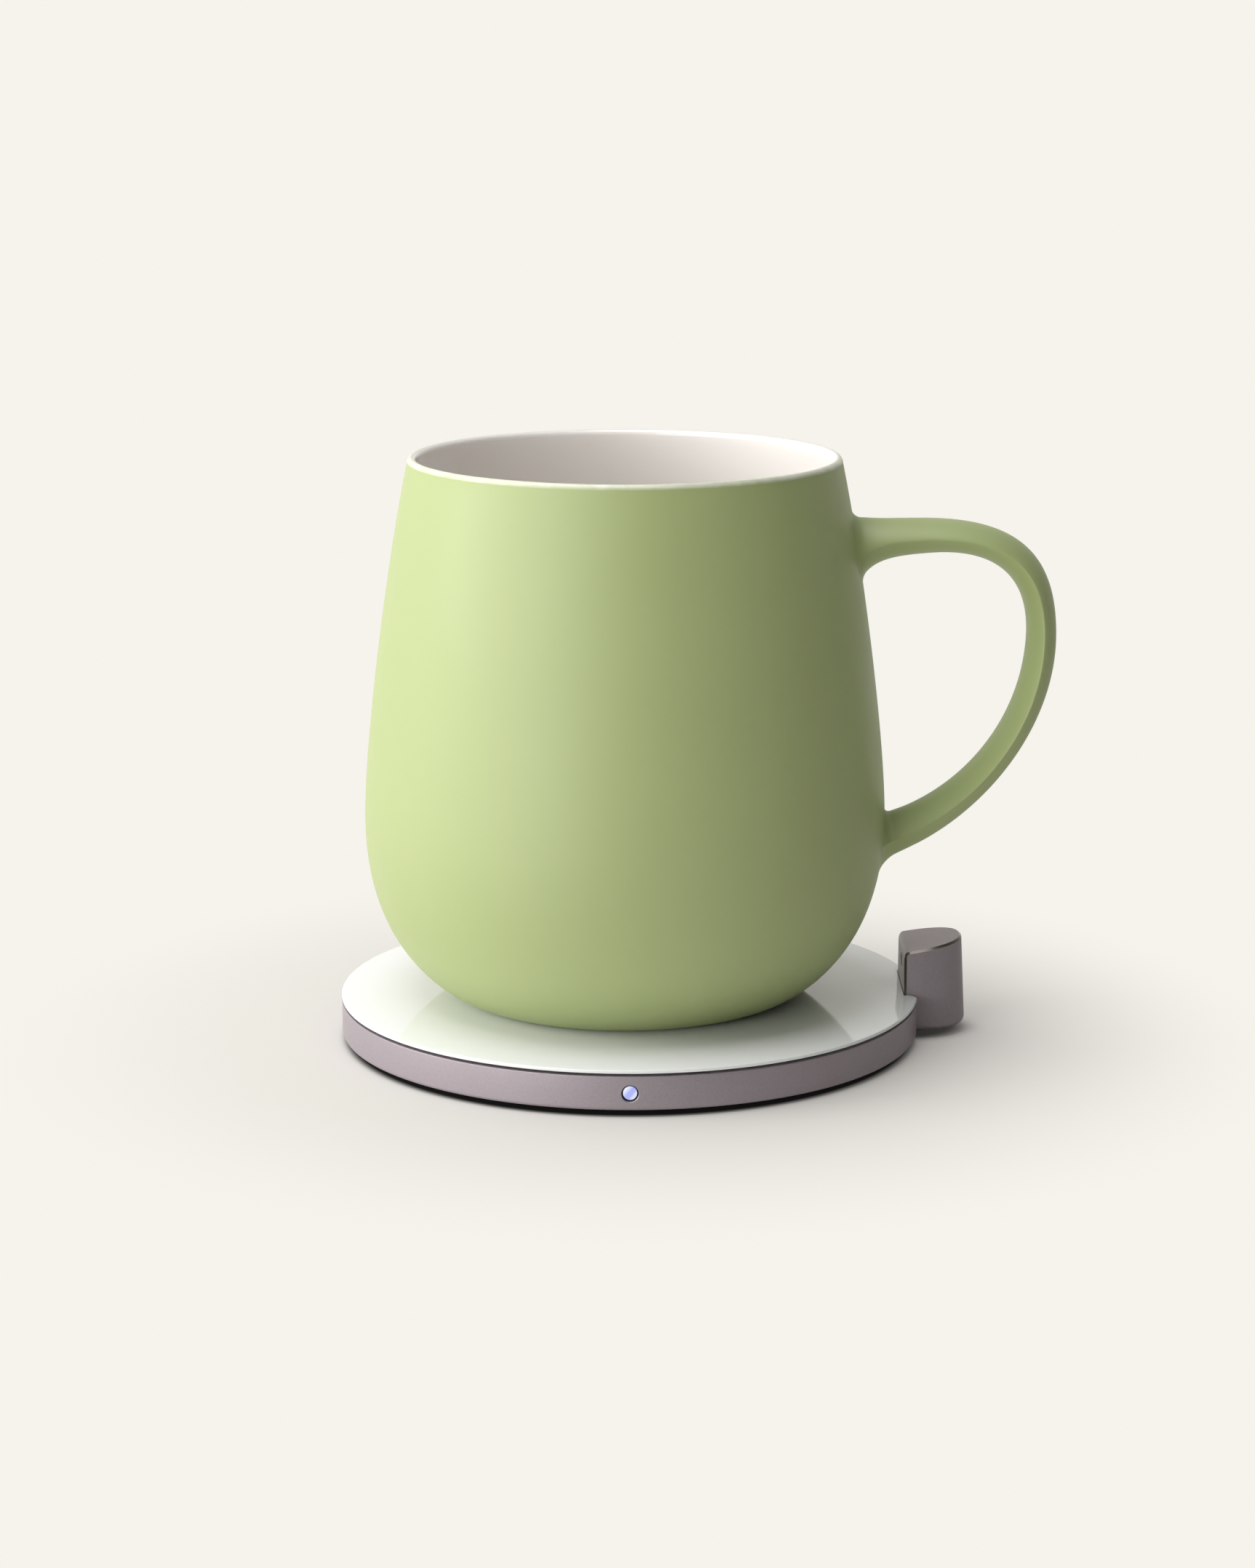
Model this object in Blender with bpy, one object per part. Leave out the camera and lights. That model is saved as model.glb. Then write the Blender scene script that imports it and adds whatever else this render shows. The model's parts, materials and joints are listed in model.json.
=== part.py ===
"""A self heating mug that stands on a round warming pad with a sensor post.

Metres, +Z up. The origin is on the pad's axis at table level, the lamp in the pad's band looks
towards -Y, and the mug's handle points towards +X. Every piece of the real product is one object.
"""

import math

import bmesh
import bpy
import numpy as np
from mathutils import Matrix, Vector

# Units and shared clearances
MM = 0.001
FIT_GAP = 0.3 * MM
CUT_OVERRUN = 1.5 * MM
WELD = 0.001 * MM

# Mesh fineness, in sides or steps
FINE_STEPS = 72
ROUND_STEPS = 48
INNER_STEPS = 32
SMALL_STEPS = 12
TINY_STEPS = 8
OUTLINE_POINTS = 10
FLOOR_CURVE_POINTS = 7
LIP_POINTS = 7
CORNER_POINTS = 6
SMOOTH_ANGLE = math.radians(35)
EDGE_ANGLE = math.radians(50)

# Pad: band, glass and covers
PAD_RADIUS = 50.0 * MM
FOOT_HEIGHT = 1.1 * MM
BAND_HEIGHT = 5.75 * MM
BAND_WALL = 1.6 * MM
BAND_BOTTOM_BEVEL = 0.6 * MM
BAND_TOP_BEVEL = 0.15 * MM
FLANGE_WIDTH = 4.6 * MM
FLANGE_THICKNESS = 0.6 * MM
GLASS_GAP = 0.34 * MM
GLASS_THICKNESS = 0.71 * MM
GLASS_BEVEL = 0.25 * MM
GASKET_THICKNESS = 0.44 * MM
BASE_PAD_INSET = 3.5 * MM
BASE_PAD_BEVEL = 0.2 * MM
COVER_THICKNESS = 1.1 * MM
COVER_RAISE = 0.2 * MM

# Pad: coil, tray and main board
COIL_SIDE_MARGIN = 1.4 * MM
COIL_TURNS = 8
# The pad's coil against the pad's radius, the bore of a coil against its outer radius, and the
# wire against the pitch of the turns
PAD_COIL_SHARE = 0.432
COIL_BORE_SHARE = 0.44
COIL_WIRE_SHARE = 0.64
PAD_COIL_THICKNESS = 1.0 * MM
FERRITE_THICKNESS = 0.6 * MM
FERRITE_MARGIN = 1.2 * MM
CARRIER_FLOOR = 0.8 * MM
CARRIER_WALL = 1.0 * MM
BOARD_THICKNESS = 0.8 * MM
BOARD_STANDOFF = 0.9 * MM
BOARD_RIM_MARGIN = 8.2 * MM
CHIP_HEIGHT = 1.0 * MM
CHIP_SIDE = 6.0 * MM
INDUCTOR_SIDE = 6.6 * MM
INDUCTOR_HEIGHT = 1.5 * MM
CAPACITOR_LENGTH = 3.2 * MM
CAPACITOR_WIDTH = 1.6 * MM

# Where the parts of the two boards lie, in degrees round the axis
PAD_CHIP_DEGREES = {"inverter_chip": 215, "pad_controller": 330}
PAD_INDUCTOR_DEGREES = {"board_inductor": 150}
PAD_CAPACITOR_DEGREES = {"board_capacitor_1": 195, "board_capacitor_2": 240,
                         "board_capacitor_3": 120}
MUG_CHIP_DEGREES = {"rectifier_chip": 40, "receiver_controller": 200}
MUG_CAPACITOR_DEGREES = {"receiver_capacitor_1": 120, "receiver_capacitor_2": 290}

# Screws
SCREW_HEAD_RADIUS = 1.5 * MM
SCREW_HEAD_HEIGHT = 0.6 * MM
SCREW_SHANK_RADIUS = 0.6 * MM
SCREW_SOCKET_RADIUS = 0.7 * MM
SCREW_SOCKET_DEPTH = 0.35 * MM
SCREW_SEAT_GAP = 0.15 * MM
BOSS_WALL = 1.0 * MM
COVER_BOSS_HEIGHT = 2.4 * MM
COVER_SCREW_COUNT = 4
COVER_SCREW_INSET = 5.7 * MM
BOARD_SCREW_COUNT = 3
BOARD_SCREW_INSET = 3.0 * MM
BOARD_SCREW_TURN = math.radians(60)

# Lamp in the front of the band, and the power inlet in its rear
LAMP_HOLE_RADIUS = 1.4 * MM
LAMP_LENS_RADIUS = 1.1 * MM
LAMP_LENS_LENGTH = 5.9 * MM
LAMP_LENS_RECESS = 0.25 * MM
LAMP_LENS_CROWN = 0.2 * MM
LED_LENGTH = 2.0 * MM
LED_WIDTH = 1.2 * MM
LED_HEIGHT = 0.6 * MM
USB_WIDTH = 8.9 * MM
USB_HEIGHT = 3.1 * MM
USB_DEPTH = 6.6 * MM
USB_WALL = 0.3 * MM
USB_BACK = 0.8 * MM
USB_RECESS = 0.3 * MM
USB_TONGUE_WIDTH = 6.6 * MM
USB_TONGUE_HEIGHT = 0.7 * MM
USB_TONGUE_LENGTH = 4.4 * MM

# Sensor post
POST_FLAT_INSET = 2.57 * MM
POST_SIDE_SHIFT = 2.86 * MM
POST_HALF_WIDTH = 7.45 * MM
POST_DEPTH = 10.33 * MM
POST_ROUNDNESS = 2.5
POST_FOOT = 1.37 * MM
POST_FLAT_TOP = 15.2 * MM
POST_TOP_SLOPE = math.radians(9.5)
POST_DRAFT = math.radians(3.2)
POST_FOOT_FILLET = 1.2 * MM
POST_TOP_FILLET = 1.1 * MM
POST_EDGE_BEVEL = 0.4 * MM
POST_WALL = 1.2 * MM
POST_CAP_THICKNESS = 1.1 * MM
POST_CAP_RAISE = 0.25 * MM
POST_NOTCH_GAP = 0.4 * MM
POST_BOSS_RADIUS = 1.7 * MM
POST_BOSS_SINK = 0.4 * MM
PLAN_STEPS = 20

# What the post holds
WINDOW_HEIGHT = 12.05 * MM
WINDOW_HOLE_RADIUS = 1.25 * MM
WINDOW_RADIUS = 0.95 * MM
WINDOW_RECESS = 0.5 * MM
WINDOW_FLANGE_RADIUS = 1.7 * MM
WINDOW_FLANGE_THICKNESS = 0.4 * MM
SENSOR_RADIUS = 1.6 * MM
SENSOR_LENGTH = 1.1 * MM
SENSOR_BOARD_WIDTH = 8.0 * MM
SENSOR_BOARD_HEIGHT = 6.4 * MM
SENSOR_BOARD_THICKNESS = 0.6 * MM
BRACKET_THICKNESS = 0.6 * MM
BRACKET_WIDTH = 11.0 * MM
BRACKET_SCREW_SPACING = 7.8 * MM
BRACKET_SCREW_INSET = 2.4 * MM
CABLE_WIDTH = 3.0 * MM
CABLE_THICKNESS = 0.3 * MM

# Mug: heights above its foot, and radii
MUG_OFF_CENTRE = 0.85 * MM
MUG_FOOT_RADIUS = 26.85 * MM
MUG_BELLY_RADIUS = 44.67 * MM
MUG_BELLY_HEIGHT = 30.55 * MM
MUG_RIM_RADIUS = 36.77 * MM
MUG_RIM_HEIGHT = 91.81 * MM
MUG_LIP_WIDTH = 1.57 * MM
MUG_LIP_ROUND = 0.95 * MM
MUG_BELLY_WALL = 3.3 * MM
MUG_FLOOR_THICKNESS = 3.0 * MM
MUG_FLOOR_FLAT_RADIUS = 15.0 * MM
FOOT_RING_WIDTH = 2.65 * MM
LIFT_GAP = 0.3 * MM

# How far each Bezier handle of the mug's outline reaches, as shares of its stretch
FOOT_CURVE_SHARE = 0.212
BELLY_LOW_SHARE = 0.762
BELLY_HIGH_SHARE = 0.212
RIM_CURVE_SHARE = 0.274
RIM_LEAN_SHARE = 0.215
INNER_LEAN_SHARE = 0.194
INNER_BELLY_SHARE = 0.6
INNER_FLOOR_SHARE = 0.45

# Handle: reach past the belly, and its two outlines
HANDLE_REACH = 28.88 * MM
HANDLE_WIDTH = 11.8 * MM
HANDLE_ROOT_WIDTH = 14.0 * MM
HANDLE_FLARE_POWER = 6
HANDLE_ROUNDNESS = 1.9
HANDLE_SIDES = 12
HANDLE_STRETCH_STEPS = 6
# Control points of four cubic stretches, from the upper root round to the lower one. The first
# number is a share of HANDLE_REACH past the belly, the second of MUG_RIM_HEIGHT above the foot.
HANDLE_OUTER_SHARES = (
    (-0.190, 0.915), (-0.180, 0.893), (-0.060, 0.896), (0.235, 0.895),
    (0.640, 0.893), (1.000, 0.813), (1.000, 0.673),
    (1.000, 0.499), (0.700, 0.380), (0.209, 0.278),
    (0.100, 0.257), (-0.020, 0.243), (-0.030, 0.210),
)
HANDLE_INNER_SHARES = (
    (-0.165, 0.770), (-0.135, 0.810), (-0.020, 0.829), (0.235, 0.829),
    (0.600, 0.833), (0.818, 0.800), (0.818, 0.673),
    (0.818, 0.530), (0.540, 0.415), (0.160, 0.358),
    (0.080, 0.345), (0.000, 0.340), (-0.020, 0.372),
)

# Mug: what lies in the recess of its foot, from below upwards
BASE_COVER_INSET = 0.5 * MM
BASE_COVER_THICKNESS = 1.1 * MM
BASE_SEAL_WIDTH = 1.0 * MM
MUG_COIL_THICKNESS = 0.9 * MM
MUG_FERRITE_THICKNESS = 0.5 * MM
MUG_BOARD_THICKNESS = 0.8 * MM
MUG_CHIP_HEIGHT = 0.8 * MM
INSULATION_THICKNESS = 0.5 * MM
INSULATION_HOLE_RADIUS = 4.0 * MM
HEATER_THICKNESS = 0.3 * MM
STACK_SIDE_GAP = 1.2 * MM
BEAD_RADIUS = 0.9 * MM
BEAD_HEIGHT = 0.4 * MM
BEAD_SPACING = 3.4 * MM

# Heights that follow from those sizes
BAND_TOP = FOOT_HEIGHT + BAND_HEIGHT
GLASS_BOTTOM = BAND_TOP + GLASS_GAP
GLASS_TOP = GLASS_BOTTOM + GLASS_THICKNESS
GASKET_TOP = GLASS_BOTTOM - FIT_GAP
FLANGE_TOP = GASKET_TOP - GASKET_THICKNESS - FIT_GAP
FLANGE_BOTTOM = FLANGE_TOP - FLANGE_THICKNESS
COVER_BOTTOM = FOOT_HEIGHT + COVER_RAISE
COVER_TOP = COVER_BOTTOM + COVER_THICKNESS
STANDOFF_TOP = COVER_TOP + BOARD_STANDOFF
BOARD_BOTTOM = STANDOFF_TOP + FIT_GAP
BOARD_TOP = BOARD_BOTTOM + BOARD_THICKNESS
BRACKET_TOP = BOARD_BOTTOM + BRACKET_THICKNESS
LAMP_HEIGHT = FOOT_HEIGHT + BAND_HEIGHT / 2

# Radii that follow
BAND_INNER = PAD_RADIUS - BAND_WALL
FLANGE_INNER = BAND_INNER - FLANGE_WIDTH
RECESS_RADIUS = MUG_FOOT_RADIUS - FOOT_RING_WIDTH
STACK_RADIUS = RECESS_RADIUS - STACK_SIDE_GAP
MUG_COIL_RADIUS = STACK_RADIUS - COIL_SIDE_MARGIN
PAD_COIL_RADIUS = PAD_RADIUS * PAD_COIL_SHARE
FERRITE_RADIUS = PAD_COIL_RADIUS + FERRITE_MARGIN
CARRIER_RADIUS = FERRITE_RADIUS + FIT_GAP + CARRIER_WALL
BOARD_OUTER = PAD_RADIUS - BOARD_RIM_MARGIN
BOARD_INNER = CARRIER_RADIUS + FIT_GAP
COVER_SCREW_CIRCLE = PAD_RADIUS - COVER_SCREW_INSET
BOARD_SCREW_CIRCLE = BOARD_OUTER - BOARD_SCREW_INSET
BOSS_HOLE = SCREW_SHANK_RADIUS + FIT_GAP
BOSS_RADIUS = BOSS_HOLE + BOSS_WALL
POST_FLAT_X = PAD_RADIUS - POST_FLAT_INSET


# Meshes

def loft(rings, closed_path=False, closed_ring=True):
    """Vertices and faces that join a row of rings. Open paths get a flat cap at each end."""
    rings = np.asarray(rings, dtype=float)
    count, sides, _ = rings.shape
    faces = []
    for ring in range(count if closed_path else count - 1):
        after = (ring + 1) % count
        for side in range(sides if closed_ring else sides - 1):
            beside = (side + 1) % sides
            faces.append((ring * sides + side, ring * sides + beside,
                          after * sides + beside, after * sides + side))
    if not closed_path:
        faces.append(tuple(range(sides)))
        faces.append(tuple((count - 1) * sides + side for side in range(sides)))
    return rings.reshape(-1, 3), faces


def turned(profile, steps, centre=(0, 0)):
    """Solid of revolution about a vertical line, from a profile of (radius, height) points.

    A profile that starts and ends on the axis makes a disc, and any other is a closed outline.
    """
    profile = np.asarray(profile, dtype=float)
    angles = np.arange(steps) * math.tau / steps
    rings = np.empty((steps, len(profile), 3))
    rings[:, :, 0] = np.cos(angles)[:, None] * profile[:, 0] + centre[0]
    rings[:, :, 1] = np.sin(angles)[:, None] * profile[:, 0] + centre[1]
    rings[:, :, 2] = profile[:, 1]
    on_axis = profile[0, 0] == 0 and profile[-1, 0] == 0
    return loft(rings, closed_path=True, closed_ring=not on_axis)


def disc(radius, low, high, steps, centre=(0, 0), bevel=0.0):
    """Round plate, with an optional bevel on its upper edge."""
    profile = [(0, low), (radius, low), (radius, high - bevel)]
    if bevel:
        profile.append((radius - bevel, high))
    profile.append((0, high))
    return turned(profile, steps, centre)


def washer(inner, outer, low, high, steps):
    """Flat ring."""
    return turned([(inner, low), (outer, low), (outer, high), (inner, high)], steps)


def prism(outline, low, high):
    """Upright prism on a flat outline of (x, y) points."""
    outline = np.asarray(outline, dtype=float)
    level = np.ones((len(outline), 1))
    return loft([np.hstack([outline, level * low]), np.hstack([outline, level * high])])


def box(centre, size):
    """Box from its centre and its three sizes."""
    x, y, z = centre
    half_x, half_y, half_z = size[0] / 2, size[1] / 2, size[2] / 2
    outline = [(x - half_x, y - half_y), (x + half_x, y - half_y),
               (x + half_x, y + half_y), (x - half_x, y + half_y)]
    return prism(outline, z - half_z, z + half_z)


def placed(solid, matrix):
    """The same solid, moved by a matrix."""
    points, faces = solid
    moved = np.array([matrix @ Vector(point) for point in points])
    return moved, faces


def along_x(solid, origin):
    """Turn a solid made along +Z so that it points along +X from the origin given."""
    return placed(solid, Matrix.Translation(origin) @ Matrix.Rotation(math.pi / 2, 4, "Y"))


def along_y(solid, origin):
    """Turn a solid made along +Z so that it points along -Y from the origin given."""
    return placed(solid, Matrix.Translation(origin) @ Matrix.Rotation(math.pi / 2, 4, "X"))


def bezier(controls, count):
    """Points on the Bezier curve of the control points given, both ends included."""
    controls = np.asarray(controls, dtype=float)
    degree = len(controls) - 1
    share = np.linspace(0, 1, count)[:, None]
    curve = np.zeros((count, controls.shape[1]))
    for index, point in enumerate(controls):
        weight = math.comb(degree, index) * share ** index * (1 - share) ** (degree - index)
        curve += weight * point
    return curve


def on_circle(radius, angle):
    """The (x, y) point of a circle about the origin."""
    return (radius * math.cos(angle), radius * math.sin(angle))


# Objects

def material(name, colour, roughness, metallic=0.0, coat=0.0, emission=0.0):
    """Principled material, made once and found again by its name."""
    found = bpy.data.materials.get(name)
    if found:
        return found
    made = bpy.data.materials.new(name)
    made.use_nodes = True
    shader = made.node_tree.nodes["Principled BSDF"]
    shader.inputs["Base Color"].default_value = (*colour, 1.0)
    shader.inputs["Roughness"].default_value = roughness
    shader.inputs["Metallic"].default_value = metallic
    shader.inputs["Coat Weight"].default_value = coat
    if emission:
        shader.inputs["Emission Color"].default_value = (*colour, 1.0)
        shader.inputs["Emission Strength"].default_value = emission
    return made


def ceramic():
    return material("satin_green_ceramic", (0.43, 0.52, 0.27), 0.5)


def aluminium():
    return material("blasted_mauve_aluminium", (0.33, 0.29, 0.31), 0.45, metallic=0.85)


def white_glass():
    return material("white_glass", (0.78, 0.82, 0.77), 0.08, coat=1.0)


def black_rubber():
    return material("black_rubber", (0.02, 0.02, 0.02), 0.8)


def dark_plastic():
    return material("dark_plastic", (0.05, 0.05, 0.055), 0.55)


def cover_plastic():
    return material("cover_plastic", (0.36, 0.42, 0.25), 0.45)


def circuit_board():
    return material("circuit_board", (0.03, 0.16, 0.08), 0.4)


def chip_plastic():
    return material("chip_plastic", (0.02, 0.02, 0.022), 0.5)


def ferrite():
    return material("ferrite", (0.06, 0.06, 0.06), 0.7)


def copper():
    return material("copper", (0.72, 0.36, 0.2), 0.3, metallic=1.0)


def steel():
    return material("steel", (0.55, 0.55, 0.56), 0.3, metallic=1.0)


def foam():
    return material("foam", (0.75, 0.73, 0.68), 0.9)


def capacitor_ceramic():
    return material("capacitor_ceramic", (0.4, 0.31, 0.2), 0.5)


def led_package():
    return material("led_package", (0.85, 0.85, 0.8), 0.4)


def heater_polyimide():
    return material("heater_polyimide", (0.6, 0.28, 0.06), 0.35)


def solid_mesh(name, solids):
    """One mesh from one or more solids, its doubles welded and its faces turned outwards."""
    mesh = bpy.data.meshes.new(name)
    vertices = []
    faces = []
    for points, corners in solids:
        start = len(vertices)
        vertices.extend(map(tuple, points))
        faces.extend(tuple(start + corner for corner in face) for face in corners)
    mesh.from_pydata(vertices, [], faces)
    work = bmesh.new()
    work.from_mesh(mesh)
    bmesh.ops.remove_doubles(work, verts=work.verts, dist=WELD)
    bmesh.ops.recalc_face_normals(work, faces=work.faces)
    work.to_mesh(mesh)
    work.free()
    return mesh


def empty(name, location, parent=None):
    """Guide that carries the pieces of one assembly."""
    guide = bpy.data.objects.new(name, None)
    bpy.context.collection.objects.link(guide)
    guide.parent = parent
    guide.location = location
    return guide


def piece(name, solid, finish, parent, location=(0, 0, 0), turn=0.0):
    """One named piece of the product."""
    mesh = solid if isinstance(solid, bpy.types.Mesh) else solid_mesh(name, [solid])
    if not mesh.materials:
        mesh.materials.append(finish)
    made = bpy.data.objects.new(name, mesh)
    bpy.context.collection.objects.link(made)
    made.parent = parent
    made.location = location
    made.rotation_euler = (0, 0, turn)
    return made


def rounded(target):
    """Shade a round piece smooth, with its hard edges kept sharp."""
    target.data.shade_smooth()
    target.data.set_sharp_from_angle(angle=SMOOTH_ANGLE)
    return target


def combine(target, operation, label, solids, parent=None):
    """Add a Boolean modifier with a hidden helper made of the solids given."""
    helper_name = f"{target.name}_{label}"
    helper = bpy.data.objects.new(helper_name, solid_mesh(helper_name, solids))
    bpy.context.collection.objects.link(helper)
    helper.parent = parent or target.parent
    helper.hide_render = True
    helper.display_type = "WIRE"
    boolean = target.modifiers.new(label, "BOOLEAN")
    boolean.operation = operation
    boolean.solver = "EXACT"
    boolean.object = helper


def cut(target, label, solids, parent=None):
    combine(target, "DIFFERENCE", label, solids, parent)


def fuse(target, label, solids, parent=None):
    combine(target, "UNION", label, solids, parent)


def screw_mesh(name, shank_length):
    """Pan head screw with a round socket. Its head rests on z = 0 and its shank points down."""
    head = SCREW_HEAD_HEIGHT
    solid = turned([
        (0, head - SCREW_SOCKET_DEPTH),
        (SCREW_SOCKET_RADIUS, head - SCREW_SOCKET_DEPTH),
        (SCREW_SOCKET_RADIUS, head),
        (SCREW_HEAD_RADIUS, head),
        (SCREW_HEAD_RADIUS, 0),
        (SCREW_SHANK_RADIUS, 0),
        (SCREW_SHANK_RADIUS, -shank_length),
        (0, -shank_length),
    ], SMALL_STEPS)
    return solid_mesh(name, [solid])


def boss(centre, open_end, blind_end, root, radius):
    """Round boss that grows from its root, with a blind hole in its open end."""
    return turned([
        (0, blind_end), (BOSS_HOLE, blind_end), (BOSS_HOLE, open_end),
        (radius, open_end), (radius, root), (0, root),
    ], SMALL_STEPS, centre)


# Plans shared by the post and by what it passes through

def post_plan(spread, flat_shift):
    """Outline of the post: a flat side at x = flat_shift and a superellipse beyond it."""
    angles = np.linspace(-math.pi / 2, math.pi / 2, PLAN_STEPS)
    power = 2 / POST_ROUNDNESS
    depth = (POST_DEPTH + spread) * np.cos(angles).clip(0, 1) ** power
    side = (POST_HALF_WIDTH + spread) * np.sign(np.sin(angles)) * np.abs(np.sin(angles)) ** power
    ends = [(flat_shift, side[0])] if flat_shift < 0 else []
    outline = ends + list(zip(np.maximum(depth, flat_shift), side))
    if flat_shift < 0:
        outline.append((flat_shift, side[-1]))
    return np.array(outline)


def post_spread(height):
    """How far the drafted wall has moved out at a height, against the top of the flat."""
    return (POST_FLAT_TOP - height) * math.tan(POST_DRAFT)


def post_column(grow, flat_shift, low, high):
    """Upright solid with the post's plan and draft, grown by a clearance or a wall."""
    rings = []
    for height in (low, high):
        outline = post_plan(post_spread(height) + grow, flat_shift)
        rings.append(np.hstack([outline, np.full((len(outline), 1), height)]))
    return loft(rings)


def post_notch(gap):
    """What a plate of the pad loses to let the post stand in its edge."""
    return post_column(gap, -gap, FOOT_HEIGHT - CUT_OVERRUN, GLASS_TOP + CUT_OVERRUN)


# Pad

def build_pad_housing(pad, post):
    outline = [
        (PAD_RADIUS - BAND_BOTTOM_BEVEL, FOOT_HEIGHT),
        (PAD_RADIUS, FOOT_HEIGHT + BAND_BOTTOM_BEVEL),
        (PAD_RADIUS, BAND_TOP - BAND_TOP_BEVEL),
        (PAD_RADIUS - BAND_TOP_BEVEL, BAND_TOP),
        (BAND_INNER, BAND_TOP),
        (BAND_INNER, FLANGE_TOP),
        (FLANGE_INNER, FLANGE_TOP),
        (FLANGE_INNER, FLANGE_BOTTOM),
        (BAND_INNER, FLANGE_BOTTOM),
        (BAND_INNER, FOOT_HEIGHT),
    ]
    housing = rounded(piece("pad_housing", turned(outline, FINE_STEPS), aluminium(), pad))
    boss_low = COVER_TOP + FIT_GAP
    root = FLANGE_BOTTOM + FLANGE_THICKNESS / 2
    bosses = [boss(on_circle(COVER_SCREW_CIRCLE, angle), boss_low, boss_low + COVER_BOSS_HEIGHT,
                   root, BOSS_RADIUS) for angle in cover_screw_angles()]
    fuse(housing, "bosses", bosses)
    lamp_hole = disc(LAMP_HOLE_RADIUS, 0, BAND_WALL + 2 * CUT_OVERRUN, SMALL_STEPS)
    cut(housing, "lamp_hole", [along_y(lamp_hole, (0, CUT_OVERRUN - BAND_INNER, LAMP_HEIGHT))])
    cut(housing, "usb_opening", [usb_block(FIT_GAP, PAD_RADIUS + CUT_OVERRUN)])
    cut(housing, "post_notch", [post_notch(POST_NOTCH_GAP)], post)
    return housing


def cover_screw_angles():
    return [math.tau * (index + 0.5) / COVER_SCREW_COUNT for index in range(COVER_SCREW_COUNT)]


def board_screw_angles():
    step = math.tau / BOARD_SCREW_COUNT
    return [BOARD_SCREW_TURN + step * index for index in range(BOARD_SCREW_COUNT)]


def bracket_screw_places():
    """Bracket screws in the post's frame, on the side of the flat where the pad is."""
    inward = -(POST_FLAT_X - BOARD_OUTER) + BRACKET_SCREW_INSET
    return [(inward, side * BRACKET_SCREW_SPACING / 2) for side in (-1, 1)]


def build_glass(pad, post):
    outline = [
        (0, GLASS_BOTTOM),
        (PAD_RADIUS, GLASS_BOTTOM),
        (PAD_RADIUS, GLASS_TOP - GLASS_BEVEL),
        (PAD_RADIUS - GLASS_BEVEL, GLASS_TOP),
        (0, GLASS_TOP),
    ]
    glass = rounded(piece("glass_plate", turned(outline, FINE_STEPS), white_glass(), pad))
    cut(glass, "post_notch", [post_notch(POST_NOTCH_GAP)], post)
    return glass


def build_gasket(pad, post):
    inner = FLANGE_INNER + FIT_GAP
    outer = BAND_INNER - FIT_GAP
    ring = washer(inner, outer, GASKET_TOP - GASKET_THICKNESS, GASKET_TOP, INNER_STEPS)
    gasket = piece("glass_gasket", ring, black_rubber(), pad)
    cut(gasket, "post_notch", [post_notch(POST_NOTCH_GAP)], post)
    return gasket


def build_bottom_cover(pad, post):
    radius = BAND_INNER - FIT_GAP
    cover = piece("bottom_cover", disc(radius, COVER_BOTTOM, COVER_TOP, ROUND_STEPS),
                  dark_plastic(), pad)
    root = COVER_TOP - COVER_THICKNESS / 2
    blind_end = COVER_TOP - COVER_THICKNESS / 3
    bosses = [boss(on_circle(BOARD_SCREW_CIRCLE, angle), STANDOFF_TOP, blind_end, root, BOSS_RADIUS)
              for angle in board_screw_angles()]
    fuse(cover, "board_bosses", bosses)
    bracket_bosses = [boss(place, STANDOFF_TOP, blind_end, root, BOSS_RADIUS)
                      for place in bracket_screw_places()]
    fuse(cover, "bracket_bosses", bracket_bosses, post)
    centres = [on_circle(COVER_SCREW_CIRCLE, angle) for angle in cover_screw_angles()]
    low = COVER_BOTTOM - CUT_OVERRUN
    cut(cover, "screw_heads", [disc(SCREW_HEAD_RADIUS + FIT_GAP, low,
                                    COVER_BOTTOM + SCREW_HEAD_HEIGHT, SMALL_STEPS, centre)
                               for centre in centres])
    cut(cover, "screw_holes", [disc(BOSS_HOLE, low, COVER_TOP + CUT_OVERRUN, SMALL_STEPS, centre)
                               for centre in centres])
    cut(cover, "post_notch", [post_notch(POST_NOTCH_GAP)], post)
    return cover


def build_base_pad(pad):
    """Soft foot disc that the whole product stands on."""
    radius = PAD_RADIUS - BASE_PAD_INSET
    top = COVER_BOTTOM - FIT_GAP
    outline = [
        (0, 0),
        (radius - BASE_PAD_BEVEL, 0),
        (radius, BASE_PAD_BEVEL),
        (radius, top),
        (0, top),
    ]
    return rounded(piece("base_pad", turned(outline, ROUND_STEPS), black_rubber(), pad))


def spiral_coil(radius, thickness, low):
    """Flat spiral of rectangular wire, wound from its bore out to the radius given."""
    bore = radius * COIL_BORE_SHARE
    pitch = (radius - bore) / (COIL_TURNS + COIL_WIRE_SHARE)
    steps = COIL_TURNS * SMALL_STEPS
    angles = np.arange(steps + 1) * math.tau / SMALL_STEPS
    inner = bore + pitch * angles / math.tau
    outer = inner + pitch * COIL_WIRE_SHARE
    rings = np.empty((len(angles), 4, 3))
    top = low + thickness
    for corner, (reach, height) in enumerate(
            [(inner, low), (outer, low), (outer, top), (inner, top)]):
        rings[:, corner, 0] = reach * np.cos(angles)
        rings[:, corner, 1] = reach * np.sin(angles)
        rings[:, corner, 2] = height
    return loft(rings)


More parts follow.
